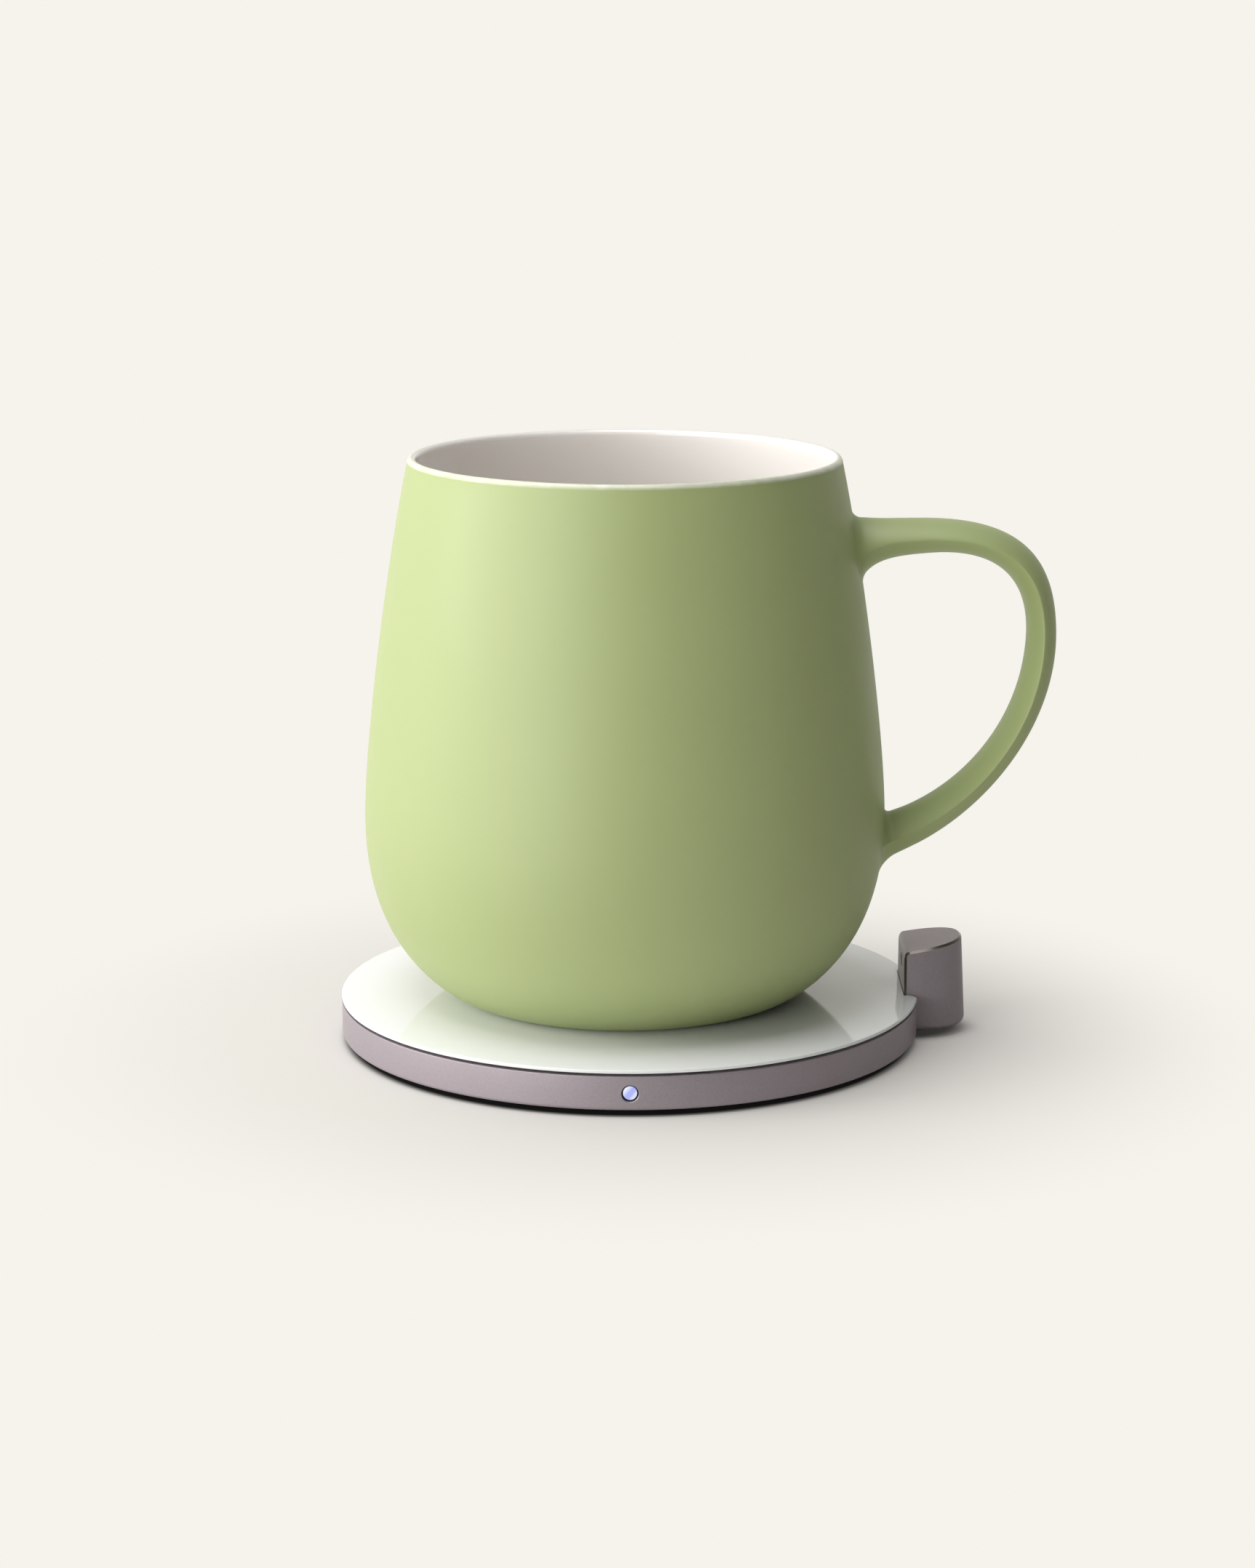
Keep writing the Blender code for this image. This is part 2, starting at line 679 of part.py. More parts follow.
def build_pad_coil(pad):
    coil_top = GLASS_BOTTOM - FIT_GAP
    coil_low = coil_top - PAD_COIL_THICKNESS
    coil = spiral_coil(PAD_COIL_RADIUS, PAD_COIL_THICKNESS, coil_low)
    piece("transmitter_coil", coil, copper(), pad)
    ferrite_top = coil_low - FIT_GAP
    ferrite_low = ferrite_top - FERRITE_THICKNESS
    piece("transmitter_ferrite", disc(FERRITE_RADIUS, ferrite_low, ferrite_top, INNER_STEPS),
          ferrite(), pad)
    floor_top = ferrite_low - FIT_GAP
    floor_low = floor_top - CARRIER_FLOOR
    inner = FERRITE_RADIUS + FIT_GAP
    foot = COVER_TOP + FIT_GAP
    outline = [
        (0, floor_low), (inner, floor_low), (inner, foot), (CARRIER_RADIUS, foot),
        (CARRIER_RADIUS, coil_top), (inner, coil_top), (inner, floor_top), (0, floor_top),
    ]
    rounded(piece("coil_carrier", turned(outline, INNER_STEPS), dark_plastic(), pad))


def board_parts(places, radius, seat, size, finish, parent):
    """Boxes that stand on a board, each turned to its own angle round the axis."""
    for name, degrees in places.items():
        angle = math.radians(degrees)
        x, y = on_circle(radius, angle)
        piece(name, box((0, 0, size[2] / 2), size), finish, parent, (x, y, seat), angle)


def build_main_board(pad):
    board = piece("main_board", washer(BOARD_INNER, BOARD_OUTER, BOARD_BOTTOM, BOARD_TOP,
                                       INNER_STEPS), circuit_board(), pad)
    holes = [disc(BOSS_HOLE, BOARD_BOTTOM - CUT_OVERRUN, BOARD_TOP + CUT_OVERRUN, TINY_STEPS,
                  on_circle(BOARD_SCREW_CIRCLE, angle)) for angle in board_screw_angles()]
    cut(board, "screw_holes", holes)
    middle = (BOARD_INNER + BOARD_OUTER) / 2
    seat = BOARD_TOP + FIT_GAP
    board_parts(PAD_CHIP_DEGREES, middle, seat, (CHIP_SIDE, CHIP_SIDE, CHIP_HEIGHT),
                chip_plastic(), pad)
    board_parts(PAD_INDUCTOR_DEGREES, middle, seat,
                (INDUCTOR_SIDE, INDUCTOR_SIDE, INDUCTOR_HEIGHT), ferrite(), pad)
    board_parts(PAD_CAPACITOR_DEGREES, middle, seat,
                (CAPACITOR_LENGTH, CAPACITOR_WIDTH, CHIP_HEIGHT), capacitor_ceramic(), pad)


def build_lamp(pad):
    """Clear lens that carries the light of a chip on the board out through the band."""
    face = PAD_RADIUS - LAMP_LENS_RECESS
    crown = LAMP_LENS_CROWN
    outline = [
        (0, 0),
        (LAMP_LENS_RADIUS, 0),
        (LAMP_LENS_RADIUS, LAMP_LENS_LENGTH - crown),
        (LAMP_LENS_RADIUS * math.sqrt(0.5), LAMP_LENS_LENGTH - crown / 4),
        (0, LAMP_LENS_LENGTH),
    ]
    lens = along_y(turned(outline, SMALL_STEPS), (0, LAMP_LENS_LENGTH - face, LAMP_HEIGHT))
    finish = material("lit_lens", (0.62, 0.68, 1.0), 0.2, emission=2.0)
    rounded(piece("led_lens", lens, finish, pad))
    chip_y = LED_WIDTH / 2 - BOARD_OUTER
    led = box((0, 0, LED_HEIGHT / 2), (LED_LENGTH, LED_WIDTH, LED_HEIGHT))
    piece("led_chip", led, led_package(), pad, (0, chip_y, BOARD_TOP + FIT_GAP))


def stadium(width, height, sides=TINY_STEPS):
    """Flat slot shape in (x, z), its ends half circles."""
    radius = height / 2
    reach = width / 2 - radius
    outline = []
    for middle, start in ((reach, -math.pi / 2), (-reach, math.pi / 2)):
        for angle in start + np.linspace(0, math.pi, sides // 2 + 1):
            outline.append((middle + radius * math.cos(angle), radius * math.sin(angle)))
    return np.array(outline)


def usb_centre():
    return COVER_TOP + FIT_GAP + USB_HEIGHT / 2


def usb_ring(width, height, y):
    outline = stadium(width, height)
    return np.column_stack([outline[:, 0], np.full(len(outline), y), outline[:, 1] + usb_centre()])


def usb_block(grow, face):
    """Room that the power inlet takes, grown by a clearance."""
    back = PAD_RADIUS - USB_RECESS - USB_DEPTH - grow
    width = USB_WIDTH + 2 * grow
    height = USB_HEIGHT + 2 * grow
    return loft([usb_ring(width, height, back), usb_ring(width, height, face)])


def build_usb(pad):
    face = PAD_RADIUS - USB_RECESS
    back = face - USB_DEPTH
    inner_width = USB_WIDTH - 2 * USB_WALL
    inner_height = USB_HEIGHT - 2 * USB_WALL
    floor = back + USB_BACK
    shell = loft([
        usb_ring(USB_WIDTH, USB_HEIGHT, back), usb_ring(USB_WIDTH, USB_HEIGHT, face),
        usb_ring(inner_width, inner_height, face), usb_ring(inner_width, inner_height, floor),
    ])
    rounded(piece("usb_shell", shell, steel(), pad))
    tongue_back = floor + FIT_GAP
    tongue = box((0, tongue_back + USB_TONGUE_LENGTH / 2, usb_centre()),
                 (USB_TONGUE_WIDTH, USB_TONGUE_LENGTH, USB_TONGUE_HEIGHT))
    piece("usb_tongue", tongue, chip_plastic(), pad)


def build_pad_screws(pad, post):
    cover_shank = COVER_BOSS_HEIGHT + COVER_THICKNESS - SCREW_HEAD_HEIGHT
    seat = COVER_BOTTOM + SCREW_HEAD_HEIGHT - SCREW_SEAT_GAP
    cover_mesh = screw_mesh("cover_screw_mesh", cover_shank)
    for number, angle in enumerate(cover_screw_angles(), 1):
        x, y = on_circle(COVER_SCREW_CIRCLE, angle)
        screw = piece(f"cover_screw_{number}", cover_mesh, steel(), pad, (x, y, seat))
        screw.rotation_euler = (math.pi, 0, angle)
    board_shank = BOARD_THICKNESS + BOARD_STANDOFF
    board_mesh = screw_mesh("board_screw_mesh", board_shank)
    for number, angle in enumerate(board_screw_angles(), 1):
        x, y = on_circle(BOARD_SCREW_CIRCLE, angle)
        piece(f"board_screw_{number}", board_mesh, steel(), pad,
              (x, y, BOARD_TOP + SCREW_SEAT_GAP), angle)
    bracket_mesh = screw_mesh("bracket_screw_mesh", BRACKET_THICKNESS + BOARD_STANDOFF)
    for number, (x, y) in enumerate(bracket_screw_places(), 1):
        piece(f"bracket_screw_{number}", bracket_mesh, steel(), post,
              (x, y, BRACKET_TOP + SCREW_SEAT_GAP))


# Post, in a frame whose origin is the foot of the middle of its flat side

def post_top(x, inset=0.0):
    """Height of the sloped top at a distance from the flat."""
    return POST_FLAT_TOP + x * math.tan(POST_TOP_SLOPE) - inset / math.cos(POST_TOP_SLOPE)


def post_boss_x():
    return POST_DEPTH - POST_WALL - POST_BOSS_RADIUS + POST_BOSS_SINK


def post_side_profile():
    """Side view of the post: the flat, a rounded upper corner and the sloped top."""
    reach = POST_DEPTH + POST_FOOT_FILLET + CUT_OVERRUN + post_spread(POST_FOOT)
    corner = Vector((0, POST_FLAT_TOP))
    rising = Vector((math.cos(POST_TOP_SLOPE), math.sin(POST_TOP_SLOPE)))
    run = POST_TOP_FILLET * math.tan((math.pi / 2 - POST_TOP_SLOPE) / 2)
    round_corner = bezier([corner - Vector((0, run)), corner, corner + rising * run],
                          CORNER_POINTS)
    outline = [(0, POST_FOOT - CUT_OVERRUN)]
    outline.extend(map(tuple, round_corner))
    outline.append((reach, post_top(reach)))
    outline.append((reach, POST_FOOT - CUT_OVERRUN))
    return np.array(outline)


def build_post_shell(post):
    foot_rings = []
    for turn in (math.pi / 2, math.pi / 4, 0):
        height = POST_FOOT + POST_FOOT_FILLET * (1 - math.sin(turn))
        spread = post_spread(height) - POST_FOOT_FILLET * (1 - math.cos(turn))
        outline = post_plan(spread, -CUT_OVERRUN)
        foot_rings.append(np.hstack([outline, np.full((len(outline), 1), height)]))
    roof = post_top(POST_DEPTH) + CUT_OVERRUN
    outline = post_plan(post_spread(roof), -CUT_OVERRUN)
    foot_rings.append(np.hstack([outline, np.full((len(outline), 1), roof)]))
    shell = piece("post_shell", loft(foot_rings), aluminium(), post)
    profile = post_side_profile()
    width = POST_HALF_WIDTH + post_spread(POST_FOOT) + CUT_OVERRUN
    sides = [np.column_stack([profile[:, 0], np.full(len(profile), side), profile[:, 1]])
             for side in (-width, width)]
    combine(shell, "INTERSECT", "side_view", [loft(sides)])
    bevel = shell.modifiers.new("edge", "BEVEL")
    bevel.width = POST_EDGE_BEVEL
    bevel.segments = 1
    bevel.limit_method = "ANGLE"
    bevel.angle_limit = EDGE_ANGLE
    inside = post_plan(post_spread(POST_FOOT) - POST_WALL, POST_WALL)
    hollow_low = np.hstack([inside, np.full((len(inside), 1), POST_FOOT - CUT_OVERRUN)])
    upper = post_plan(post_spread(POST_FLAT_TOP) - POST_WALL, POST_WALL)
    hollow_high = np.column_stack([upper, [post_top(x, POST_WALL) for x in upper[:, 0]]])
    cut(shell, "hollow", [loft([hollow_low, hollow_high])])
    boss_x = post_boss_x()
    boss_low = BRACKET_TOP + FIT_GAP
    boss_high = post_top(boss_x - POST_BOSS_RADIUS, POST_WALL / 2)
    fuse(shell, "boss", [boss((boss_x, 0), boss_low, boss_low + COVER_BOSS_HEIGHT,
                              boss_high, POST_BOSS_RADIUS)])
    window = disc(WINDOW_HOLE_RADIUS, 0, POST_WALL + 2 * CUT_OVERRUN, SMALL_STEPS)
    cut(shell, "window", [along_x(window, (-CUT_OVERRUN, 0, WINDOW_HEIGHT))])
    slot_low = BOARD_BOTTOM - FIT_GAP
    slot_high = BOARD_TOP + 2 * FIT_GAP + CABLE_THICKNESS
    slot = box((POST_WALL / 2, 0, (slot_low + slot_high) / 2),
               (POST_WALL + 2 * CUT_OVERRUN, BRACKET_WIDTH + 2 * FIT_GAP, slot_high - slot_low))
    cut(shell, "slot", [slot])
    return shell


def build_post_insides(post):
    grow = -POST_WALL - FIT_GAP
    cap_low = POST_FOOT + POST_CAP_RAISE
    cap = piece("post_cap", post_column(grow, POST_WALL + FIT_GAP, cap_low,
                                        cap_low + POST_CAP_THICKNESS), dark_plastic(), post)
    boss_x = post_boss_x()
    screw_seat = cap_low + POST_CAP_THICKNESS / 2
    counterbore = disc(SCREW_HEAD_RADIUS + FIT_GAP, cap_low - CUT_OVERRUN, screw_seat,
                       SMALL_STEPS, (boss_x, 0))
    hole = disc(BOSS_HOLE, cap_low - CUT_OVERRUN, cap_low + CUT_OVERRUN * 2, TINY_STEPS,
                (boss_x, 0))
    cut(cap, "counterbore", [counterbore])
    cut(cap, "screw_hole", [hole])
    inward = bracket_screw_places()[0][0] - BRACKET_SCREW_INSET + FIT_GAP
    plan = post_plan(post_spread(BRACKET_TOP) + grow, inward)
    plan[:, 1] = plan[:, 1].clip(-BRACKET_WIDTH / 2, BRACKET_WIDTH / 2)
    bracket = piece("post_bracket", prism(plan, BRACKET_TOP - BRACKET_THICKNESS, BRACKET_TOP),
                    steel(), post)
    places = bracket_screw_places() + [(boss_x, 0)]
    cut(bracket, "screw_holes", [disc(BOSS_HOLE, BRACKET_TOP - BRACKET_THICKNESS - CUT_OVERRUN,
                                      BRACKET_TOP + CUT_OVERRUN, TINY_STEPS, place)
                                 for place in places])
    shank = BRACKET_TOP + COVER_BOSS_HEIGHT - screw_seat - FIT_GAP
    screw = piece("post_screw", screw_mesh("post_screw_mesh", shank), steel(), post,
                  (boss_x, 0, screw_seat - SCREW_SEAT_GAP))
    screw.rotation_euler = (math.pi, 0, 0)


def build_sensor(post):
    inner_face = POST_WALL
    flange_x = inner_face + FIT_GAP
    sensor_x = flange_x + WINDOW_FLANGE_THICKNESS + FIT_GAP
    board_x = sensor_x + SENSOR_LENGTH + FIT_GAP
    window = turned([
        (0, WINDOW_RECESS), (WINDOW_RADIUS, WINDOW_RECESS), (WINDOW_RADIUS, flange_x),
        (WINDOW_FLANGE_RADIUS, flange_x),
        (WINDOW_FLANGE_RADIUS, flange_x + WINDOW_FLANGE_THICKNESS),
        (0, flange_x + WINDOW_FLANGE_THICKNESS),
    ], SMALL_STEPS)
    finish = material("window_black", (0.01, 0.01, 0.012), 0.1, coat=1.0)
    piece("sensor_window", along_x(window, (0, 0, WINDOW_HEIGHT)), finish, post)
    can = disc(SENSOR_RADIUS, 0, SENSOR_LENGTH, SMALL_STEPS)
    piece("ir_sensor", along_x(can, (sensor_x, 0, WINDOW_HEIGHT)), steel(), post)
    board_high = WINDOW_HEIGHT + SENSOR_RADIUS
    board_mid = board_high - SENSOR_BOARD_HEIGHT / 2
    piece("sensor_board", box((board_x + SENSOR_BOARD_THICKNESS / 2, 0, board_mid),
                              (SENSOR_BOARD_THICKNESS, SENSOR_BOARD_WIDTH, SENSOR_BOARD_HEIGHT)),
          circuit_board(), post)
    # Flat cable: in over the bracket, then up behind the wall to the front of the sensor board
    low = BOARD_TOP + FIT_GAP
    start = -(POST_FLAT_X - BOARD_OUTER) - CABLE_WIDTH
    bend = board_x - FIT_GAP - CABLE_THICKNESS
    high = board_mid - SENSOR_BOARD_HEIGHT / 2 + CABLE_WIDTH / 2
    outline = [(start, low), (bend + CABLE_THICKNESS, low), (bend + CABLE_THICKNESS, high),
               (bend, high), (bend, low + CABLE_THICKNESS), (start, low + CABLE_THICKNESS)]
    rings = [[(x, side * CABLE_WIDTH / 2, z) for x, z in outline] for side in (-1, 1)]
    piece("sensor_cable", loft(rings), heater_polyimide(), post)


# Mug, in a frame whose origin is the middle of its foot

def mug_outer():
    """Outer outline from the foot to the rim, as (radius, height) points."""
    foot = (MUG_FOOT_RADIUS, 0)
    belly = (MUG_BELLY_RADIUS, MUG_BELLY_HEIGHT)
    rim = (MUG_RIM_RADIUS, MUG_RIM_HEIGHT)
    spread = MUG_BELLY_RADIUS - MUG_FOOT_RADIUS
    rise = MUG_RIM_HEIGHT - MUG_BELLY_HEIGHT
    low = bezier([
        foot, (MUG_FOOT_RADIUS + FOOT_CURVE_SHARE * spread, 0),
        (MUG_BELLY_RADIUS, MUG_BELLY_HEIGHT * (1 - BELLY_LOW_SHARE)), belly,
    ], OUTLINE_POINTS)
    rim_reach = RIM_CURVE_SHARE * rise
    high = bezier([
        belly, (MUG_BELLY_RADIUS, MUG_BELLY_HEIGHT + BELLY_HIGH_SHARE * rise),
        (MUG_RIM_RADIUS + RIM_LEAN_SHARE * rim_reach, MUG_RIM_HEIGHT - rim_reach), rim,
    ], OUTLINE_POINTS)
    return np.vstack([low, high[1:]])


def stack_levels():
    """Lowest height of each layer in the recess of the foot, from below upwards."""
    layers = (
        ("base_cover", BASE_COVER_THICKNESS), ("receiver_coil", MUG_COIL_THICKNESS),
        ("receiver_ferrite", MUG_FERRITE_THICKNESS), ("receiver_board", MUG_BOARD_THICKNESS),
        ("chips", MUG_CHIP_HEIGHT), ("insulation_pad", INSULATION_THICKNESS),
        ("heater_film", HEATER_THICKNESS), ("recess_roof", MUG_FLOOR_THICKNESS),
    )
    levels = {}
    height = BASE_COVER_INSET
    for name, thickness in layers:
        levels[name] = height
        height += thickness + FIT_GAP
    return levels


def mug_floor():
    return stack_levels()["recess_roof"] + MUG_FLOOR_THICKNESS


def mug_inner():
    """Inner outline from the lip down to the middle of the floor."""
    lip = (MUG_RIM_RADIUS - MUG_LIP_WIDTH, MUG_RIM_HEIGHT)
    belly_radius = MUG_BELLY_RADIUS - MUG_BELLY_WALL
    belly = (belly_radius, MUG_BELLY_HEIGHT)
    rise = MUG_RIM_HEIGHT - MUG_BELLY_HEIGHT
    reach = RIM_CURVE_SHARE * rise
    floor = mug_floor()
    high = bezier([
        lip, (lip[0] + INNER_LEAN_SHARE * reach, MUG_RIM_HEIGHT - reach),
        (belly_radius, MUG_BELLY_HEIGHT + BELLY_HIGH_SHARE * rise), belly,
    ], OUTLINE_POINTS)
    drop = MUG_BELLY_HEIGHT - floor
    width = belly_radius - MUG_FLOOR_FLAT_RADIUS
    low = bezier([
        belly, (belly_radius, MUG_BELLY_HEIGHT - INNER_BELLY_SHARE * drop),
        (MUG_FLOOR_FLAT_RADIUS + INNER_FLOOR_SHARE * width, floor),
        (MUG_FLOOR_FLAT_RADIUS, floor),
    ], FLOOR_CURVE_POINTS)
    return np.vstack([high, low[1:], [(0, floor)]])


def mug_lip():
    """Rounded lip between the outer and the inner outline, its two ends left out."""
    middle = MUG_RIM_RADIUS - MUG_LIP_WIDTH / 2
    half = MUG_LIP_WIDTH / 2
    angles = np.linspace(0, math.pi, LIP_POINTS)[1:-1]
    return np.column_stack([middle + half * np.cos(angles),
                            MUG_RIM_HEIGHT + MUG_LIP_ROUND * np.sin(angles)])


def middle_wall(height):
    """Radius half way through the mug's wall."""
    outer = mug_outer()
    inner = mug_inner()[::-1]
    outside = np.interp(height, outer[:, 1], outer[:, 0])
    above_floor = inner[inner[:, 1] > mug_floor()]
    inside = np.interp(height, above_floor[:, 1], above_floor[:, 0])
    return (outside + inside) / 2


def handle_rail(shares):
    """One outline of the handle, as (x, z) points of four joined cubic stretches."""
    controls = np.array([(MUG_BELLY_RADIUS + across * HANDLE_REACH, up * MUG_RIM_HEIGHT)
                         for across, up in shares])
    points = [controls[:1]]
    for start in (0, 3, 6, 9):
        stretch = bezier(controls[start:start + 4], HANDLE_STRETCH_STEPS + 1)
        points.append(stretch[1:])
    return np.vstack(points)


def handle_solid():
    """Oval sections spanned between the handle's outer and inner outlines."""
    outer = handle_rail(HANDLE_OUTER_SHARES)
    inner = handle_rail(HANDLE_INNER_SHARES)
    count = len(outer)
    share = np.linspace(-1, 1, count)
    flare = np.abs(share) ** HANDLE_FLARE_POWER
    half_width = (HANDLE_WIDTH + (HANDLE_ROOT_WIDTH - HANDLE_WIDTH) * flare) / 2
    angles = np.arange(HANDLE_SIDES) * math.tau / HANDLE_SIDES
    power = 2 / HANDLE_ROUNDNESS
    across = np.sign(np.cos(angles)) * np.abs(np.cos(angles)) ** power
    beside = np.sign(np.sin(angles)) * np.abs(np.sin(angles)) ** power
    rings = np.empty((count, HANDLE_SIDES, 3))
    middle = (outer + inner) / 2
    half = (outer - inner) / 2
    rings[:, :, 0] = middle[:, None, 0] + half[:, None, 0] * across
    rings[:, :, 1] = half_width[:, None] * beside
    rings[:, :, 2] = middle[:, None, 1] + half[:, None, 1] * across
    for end in (0, -1):
        ring = rings[end]
        ring[:, 0] = np.sqrt(middle_wall(ring[:, 2]) ** 2 - ring[:, 1] ** 2)
    return loft(rings)


def build_mug_body(mug):
    roof = stack_levels()["recess_roof"]
    outline = np.vstack([
        [(0, roof), (RECESS_RADIUS, roof), (RECESS_RADIUS, 0)],
        mug_outer(), mug_lip(), mug_inner(),
    ])
    body = rounded(piece("mug_body", turned(outline, ROUND_STEPS), ceramic(), mug))
    fuse(body, "handle", [handle_solid()])
    return body


def build_mug_base(mug):
    levels = stack_levels()
    cover_low = levels["base_cover"]
    cover_high = cover_low + BASE_COVER_THICKNESS
    cover_radius = RECESS_RADIUS - BASE_SEAL_WIDTH - 2 * FIT_GAP
    cover = disc(cover_radius, cover_low, cover_high, ROUND_STEPS)
    piece("base_cover", cover, cover_plastic(), mug)
    seal = washer(cover_radius + FIT_GAP, RECESS_RADIUS - FIT_GAP, cover_low, cover_high,
                  ROUND_STEPS)
    piece("base_seal", seal, black_rubber(), mug)
    coil = spiral_coil(MUG_COIL_RADIUS, MUG_COIL_THICKNESS, levels["receiver_coil"])
    piece("receiver_coil", coil, copper(), mug)
    plates = (
        ("receiver_ferrite", MUG_FERRITE_THICKNESS, ferrite()),
        ("receiver_board", MUG_BOARD_THICKNESS, circuit_board()),
        ("heater_film", HEATER_THICKNESS, heater_polyimide()),
    )
    for name, thickness, finish in plates:
        low = levels[name]
        piece(name, disc(STACK_RADIUS, low, low + thickness, INNER_STEPS), finish, mug)
    pad_low = levels["insulation_pad"]
    piece("insulation_pad", washer(INSULATION_HOLE_RADIUS, STACK_RADIUS, pad_low,
                                   pad_low + INSULATION_THICKNESS, INNER_STEPS), foam(), mug)
    board_parts(MUG_CHIP_DEGREES, STACK_RADIUS / 2, levels["chips"],
                (CHIP_SIDE, CHIP_SIDE, MUG_CHIP_HEIGHT), chip_plastic(), mug)
    board_parts(MUG_CAPACITOR_DEGREES, STACK_RADIUS / 2, levels["chips"],
                (CAPACITOR_LENGTH, CAPACITOR_WIDTH, MUG_CHIP_HEIGHT), capacitor_ceramic(), mug)
    bead_z = levels["heater_film"] - FIT_GAP - BEAD_HEIGHT
    for name, side in (("thermistor", -1), ("thermal_fuse", 1)):
        bead = disc(BEAD_RADIUS, 0, BEAD_HEIGHT, TINY_STEPS)
        piece(name, bead, steel(), mug, (side * BEAD_SPACING / 2, 0, bead_z))


def clear_scene():
    for old in list(bpy.data.objects):
        bpy.data.objects.remove(old, do_unlink=True)


def build_product():
    """All pieces, with the pad, its post and the mug each carried by its own guide."""
    clear_scene()
    pad = empty("pad_guide", (0, 0, 0))
    post = empty("post_guide", (POST_FLAT_X, POST_SIDE_SHIFT, 0), pad)
    mug = empty("mug_guide", (-MUG_OFF_CENTRE, 0, GLASS_TOP + LIFT_GAP))
    build_pad_housing(pad, post)
    build_glass(pad, post)
    build_gasket(pad, post)
    build_bottom_cover(pad, post)
    build_base_pad(pad)
    build_pad_coil(pad)
    build_main_board(pad)
    build_lamp(pad)
    build_usb(pad)
    build_pad_screws(pad, post)
    build_post_shell(post)
    build_post_insides(post)
    build_sensor(post)
    build_mug_body(mug)
    build_mug_base(mug)


build_product()
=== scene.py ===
# %% [markdown]
# # A self heating mug on its warming pad
#
# A satin green mug stands on a thin round pad. The pad has a metal band, a white glass top, a small
# lamp in its front and a metal post at its right, whose sensor looks at the mug. The inner parts are
# already modelled and packed, so this script only dresses them: it gives each visible surface a fine
# mesh, and every piece a material. Lengths are written in millimetres and turned into metres.

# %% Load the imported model
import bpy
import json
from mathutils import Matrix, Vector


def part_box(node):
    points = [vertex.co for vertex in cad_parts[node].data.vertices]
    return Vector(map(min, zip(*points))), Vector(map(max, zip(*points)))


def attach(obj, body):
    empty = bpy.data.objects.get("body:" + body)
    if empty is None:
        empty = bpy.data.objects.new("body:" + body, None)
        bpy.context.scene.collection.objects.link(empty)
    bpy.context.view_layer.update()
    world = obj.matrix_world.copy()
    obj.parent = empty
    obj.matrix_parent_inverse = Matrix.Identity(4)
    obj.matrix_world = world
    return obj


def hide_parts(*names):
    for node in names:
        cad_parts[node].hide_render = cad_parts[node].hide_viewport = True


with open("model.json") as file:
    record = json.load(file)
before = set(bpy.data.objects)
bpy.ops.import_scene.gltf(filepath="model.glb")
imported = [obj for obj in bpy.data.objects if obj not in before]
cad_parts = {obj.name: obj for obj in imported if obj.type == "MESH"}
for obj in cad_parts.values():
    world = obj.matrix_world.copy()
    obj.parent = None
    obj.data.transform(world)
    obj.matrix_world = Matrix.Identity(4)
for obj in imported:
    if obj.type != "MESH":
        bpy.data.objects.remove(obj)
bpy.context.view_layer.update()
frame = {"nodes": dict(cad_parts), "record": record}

# %% Modules and the unit
import json
import math

import bmesh
import bpy
import numpy as np

MM = 0.001
TURN = math.tau


# %% [markdown]
# ## Turning grids of points into meshes
# Nearly every surface here is a grid: rows of points, worked out as whole arrays. Joining each point
# to its neighbours gives the faces, so one function can build them all. Rows that shrink to one
# point, such as the middle of a disc, are merged afterwards, which closes the pole without a hole.

# %% A mesh object from grids of points
MERGE = 0.0002 * MM
SMOOTH_ANGLE = math.radians(32)


def grid_faces(rows, columns, wrap):
    """Quads of a grid: corner (i, j) joins (i, j+1), (i+1, j+1) and (i+1, j). Wrap joins the sides."""
    row = np.arange(rows - 1)[:, None]
    column = np.arange(columns if wrap else columns - 1)[None, :]
    beside = (column + 1) % columns
    quads = [row * columns + column, row * columns + beside,
             (row + 1) * columns + beside, (row + 1) * columns + column]
    return np.stack([np.broadcast_to(quad, quads[0].shape) for quad in quads], -1).reshape(-1, 4)


def make_object(name, grids, smooth=SMOOTH_ANGLE):
    """One closed object from (points, wrap, caps) grids. A cap is one flat face on an end row."""
    vertices = []
    faces = []
    start = 0
    for points, wrap, caps in grids:
        rows, columns, _ = points.shape
        vertices.append(points.reshape(-1, 3))
        faces.extend((grid_faces(rows, columns, wrap) + start).tolist())
        for row in caps:
            faces.append((np.arange(columns) + start + row * columns).tolist())
        start += rows * columns
    mesh = bpy.data.meshes.new(name)
    mesh.from_pydata(np.vstack(vertices), [], faces)
    work = bmesh.new()
    work.from_mesh(mesh)
    bmesh.ops.remove_doubles(work, verts=work.verts, dist=MERGE)
    bmesh.ops.recalc_face_normals(work, faces=work.faces)
    work.to_mesh(mesh)
    work.free()
    mesh.shade_smooth()
    mesh.set_sharp_from_angle(angle=smooth)
    made = bpy.data.objects.new(name, mesh)
    bpy.context.collection.objects.link(made)
    return made


def ring_object(name, rows, capped=False, smooth=SMOOTH_ANGLE):
    """An object from one grid of closed rings. If capped, flat faces close its first and last."""
    return make_object(name, [(rows, True, (0, len(rows) - 1) if capped else ())], smooth)


# %% Turned surfaces, curves and rounded corners
LEVEL_SIDES = 48
CORNER_SHARE = 0.49


def turned(profile, sides=256, centre=(0, 0)):
    """Surface of revolution: point (r, z) of the profile goes to (r cos a, r sin a, z)."""
    profile = np.asarray(profile, float)
    angle = np.arange(sides) * TURN / sides
    grid = np.empty((len(profile), sides, 3))
    grid[..., 0] = profile[:, :1] * np.cos(angle) + centre[0]
    grid[..., 1] = profile[:, :1] * np.sin(angle) + centre[1]
    grid[..., 2] = profile[:, 1:]
    return grid


def turned_level(profile, order, centre):
    """Surface of revolution about a level line: a turned grid, its coordinates put in an order."""
    return turned(profile, LEVEL_SIDES)[..., order] + centre


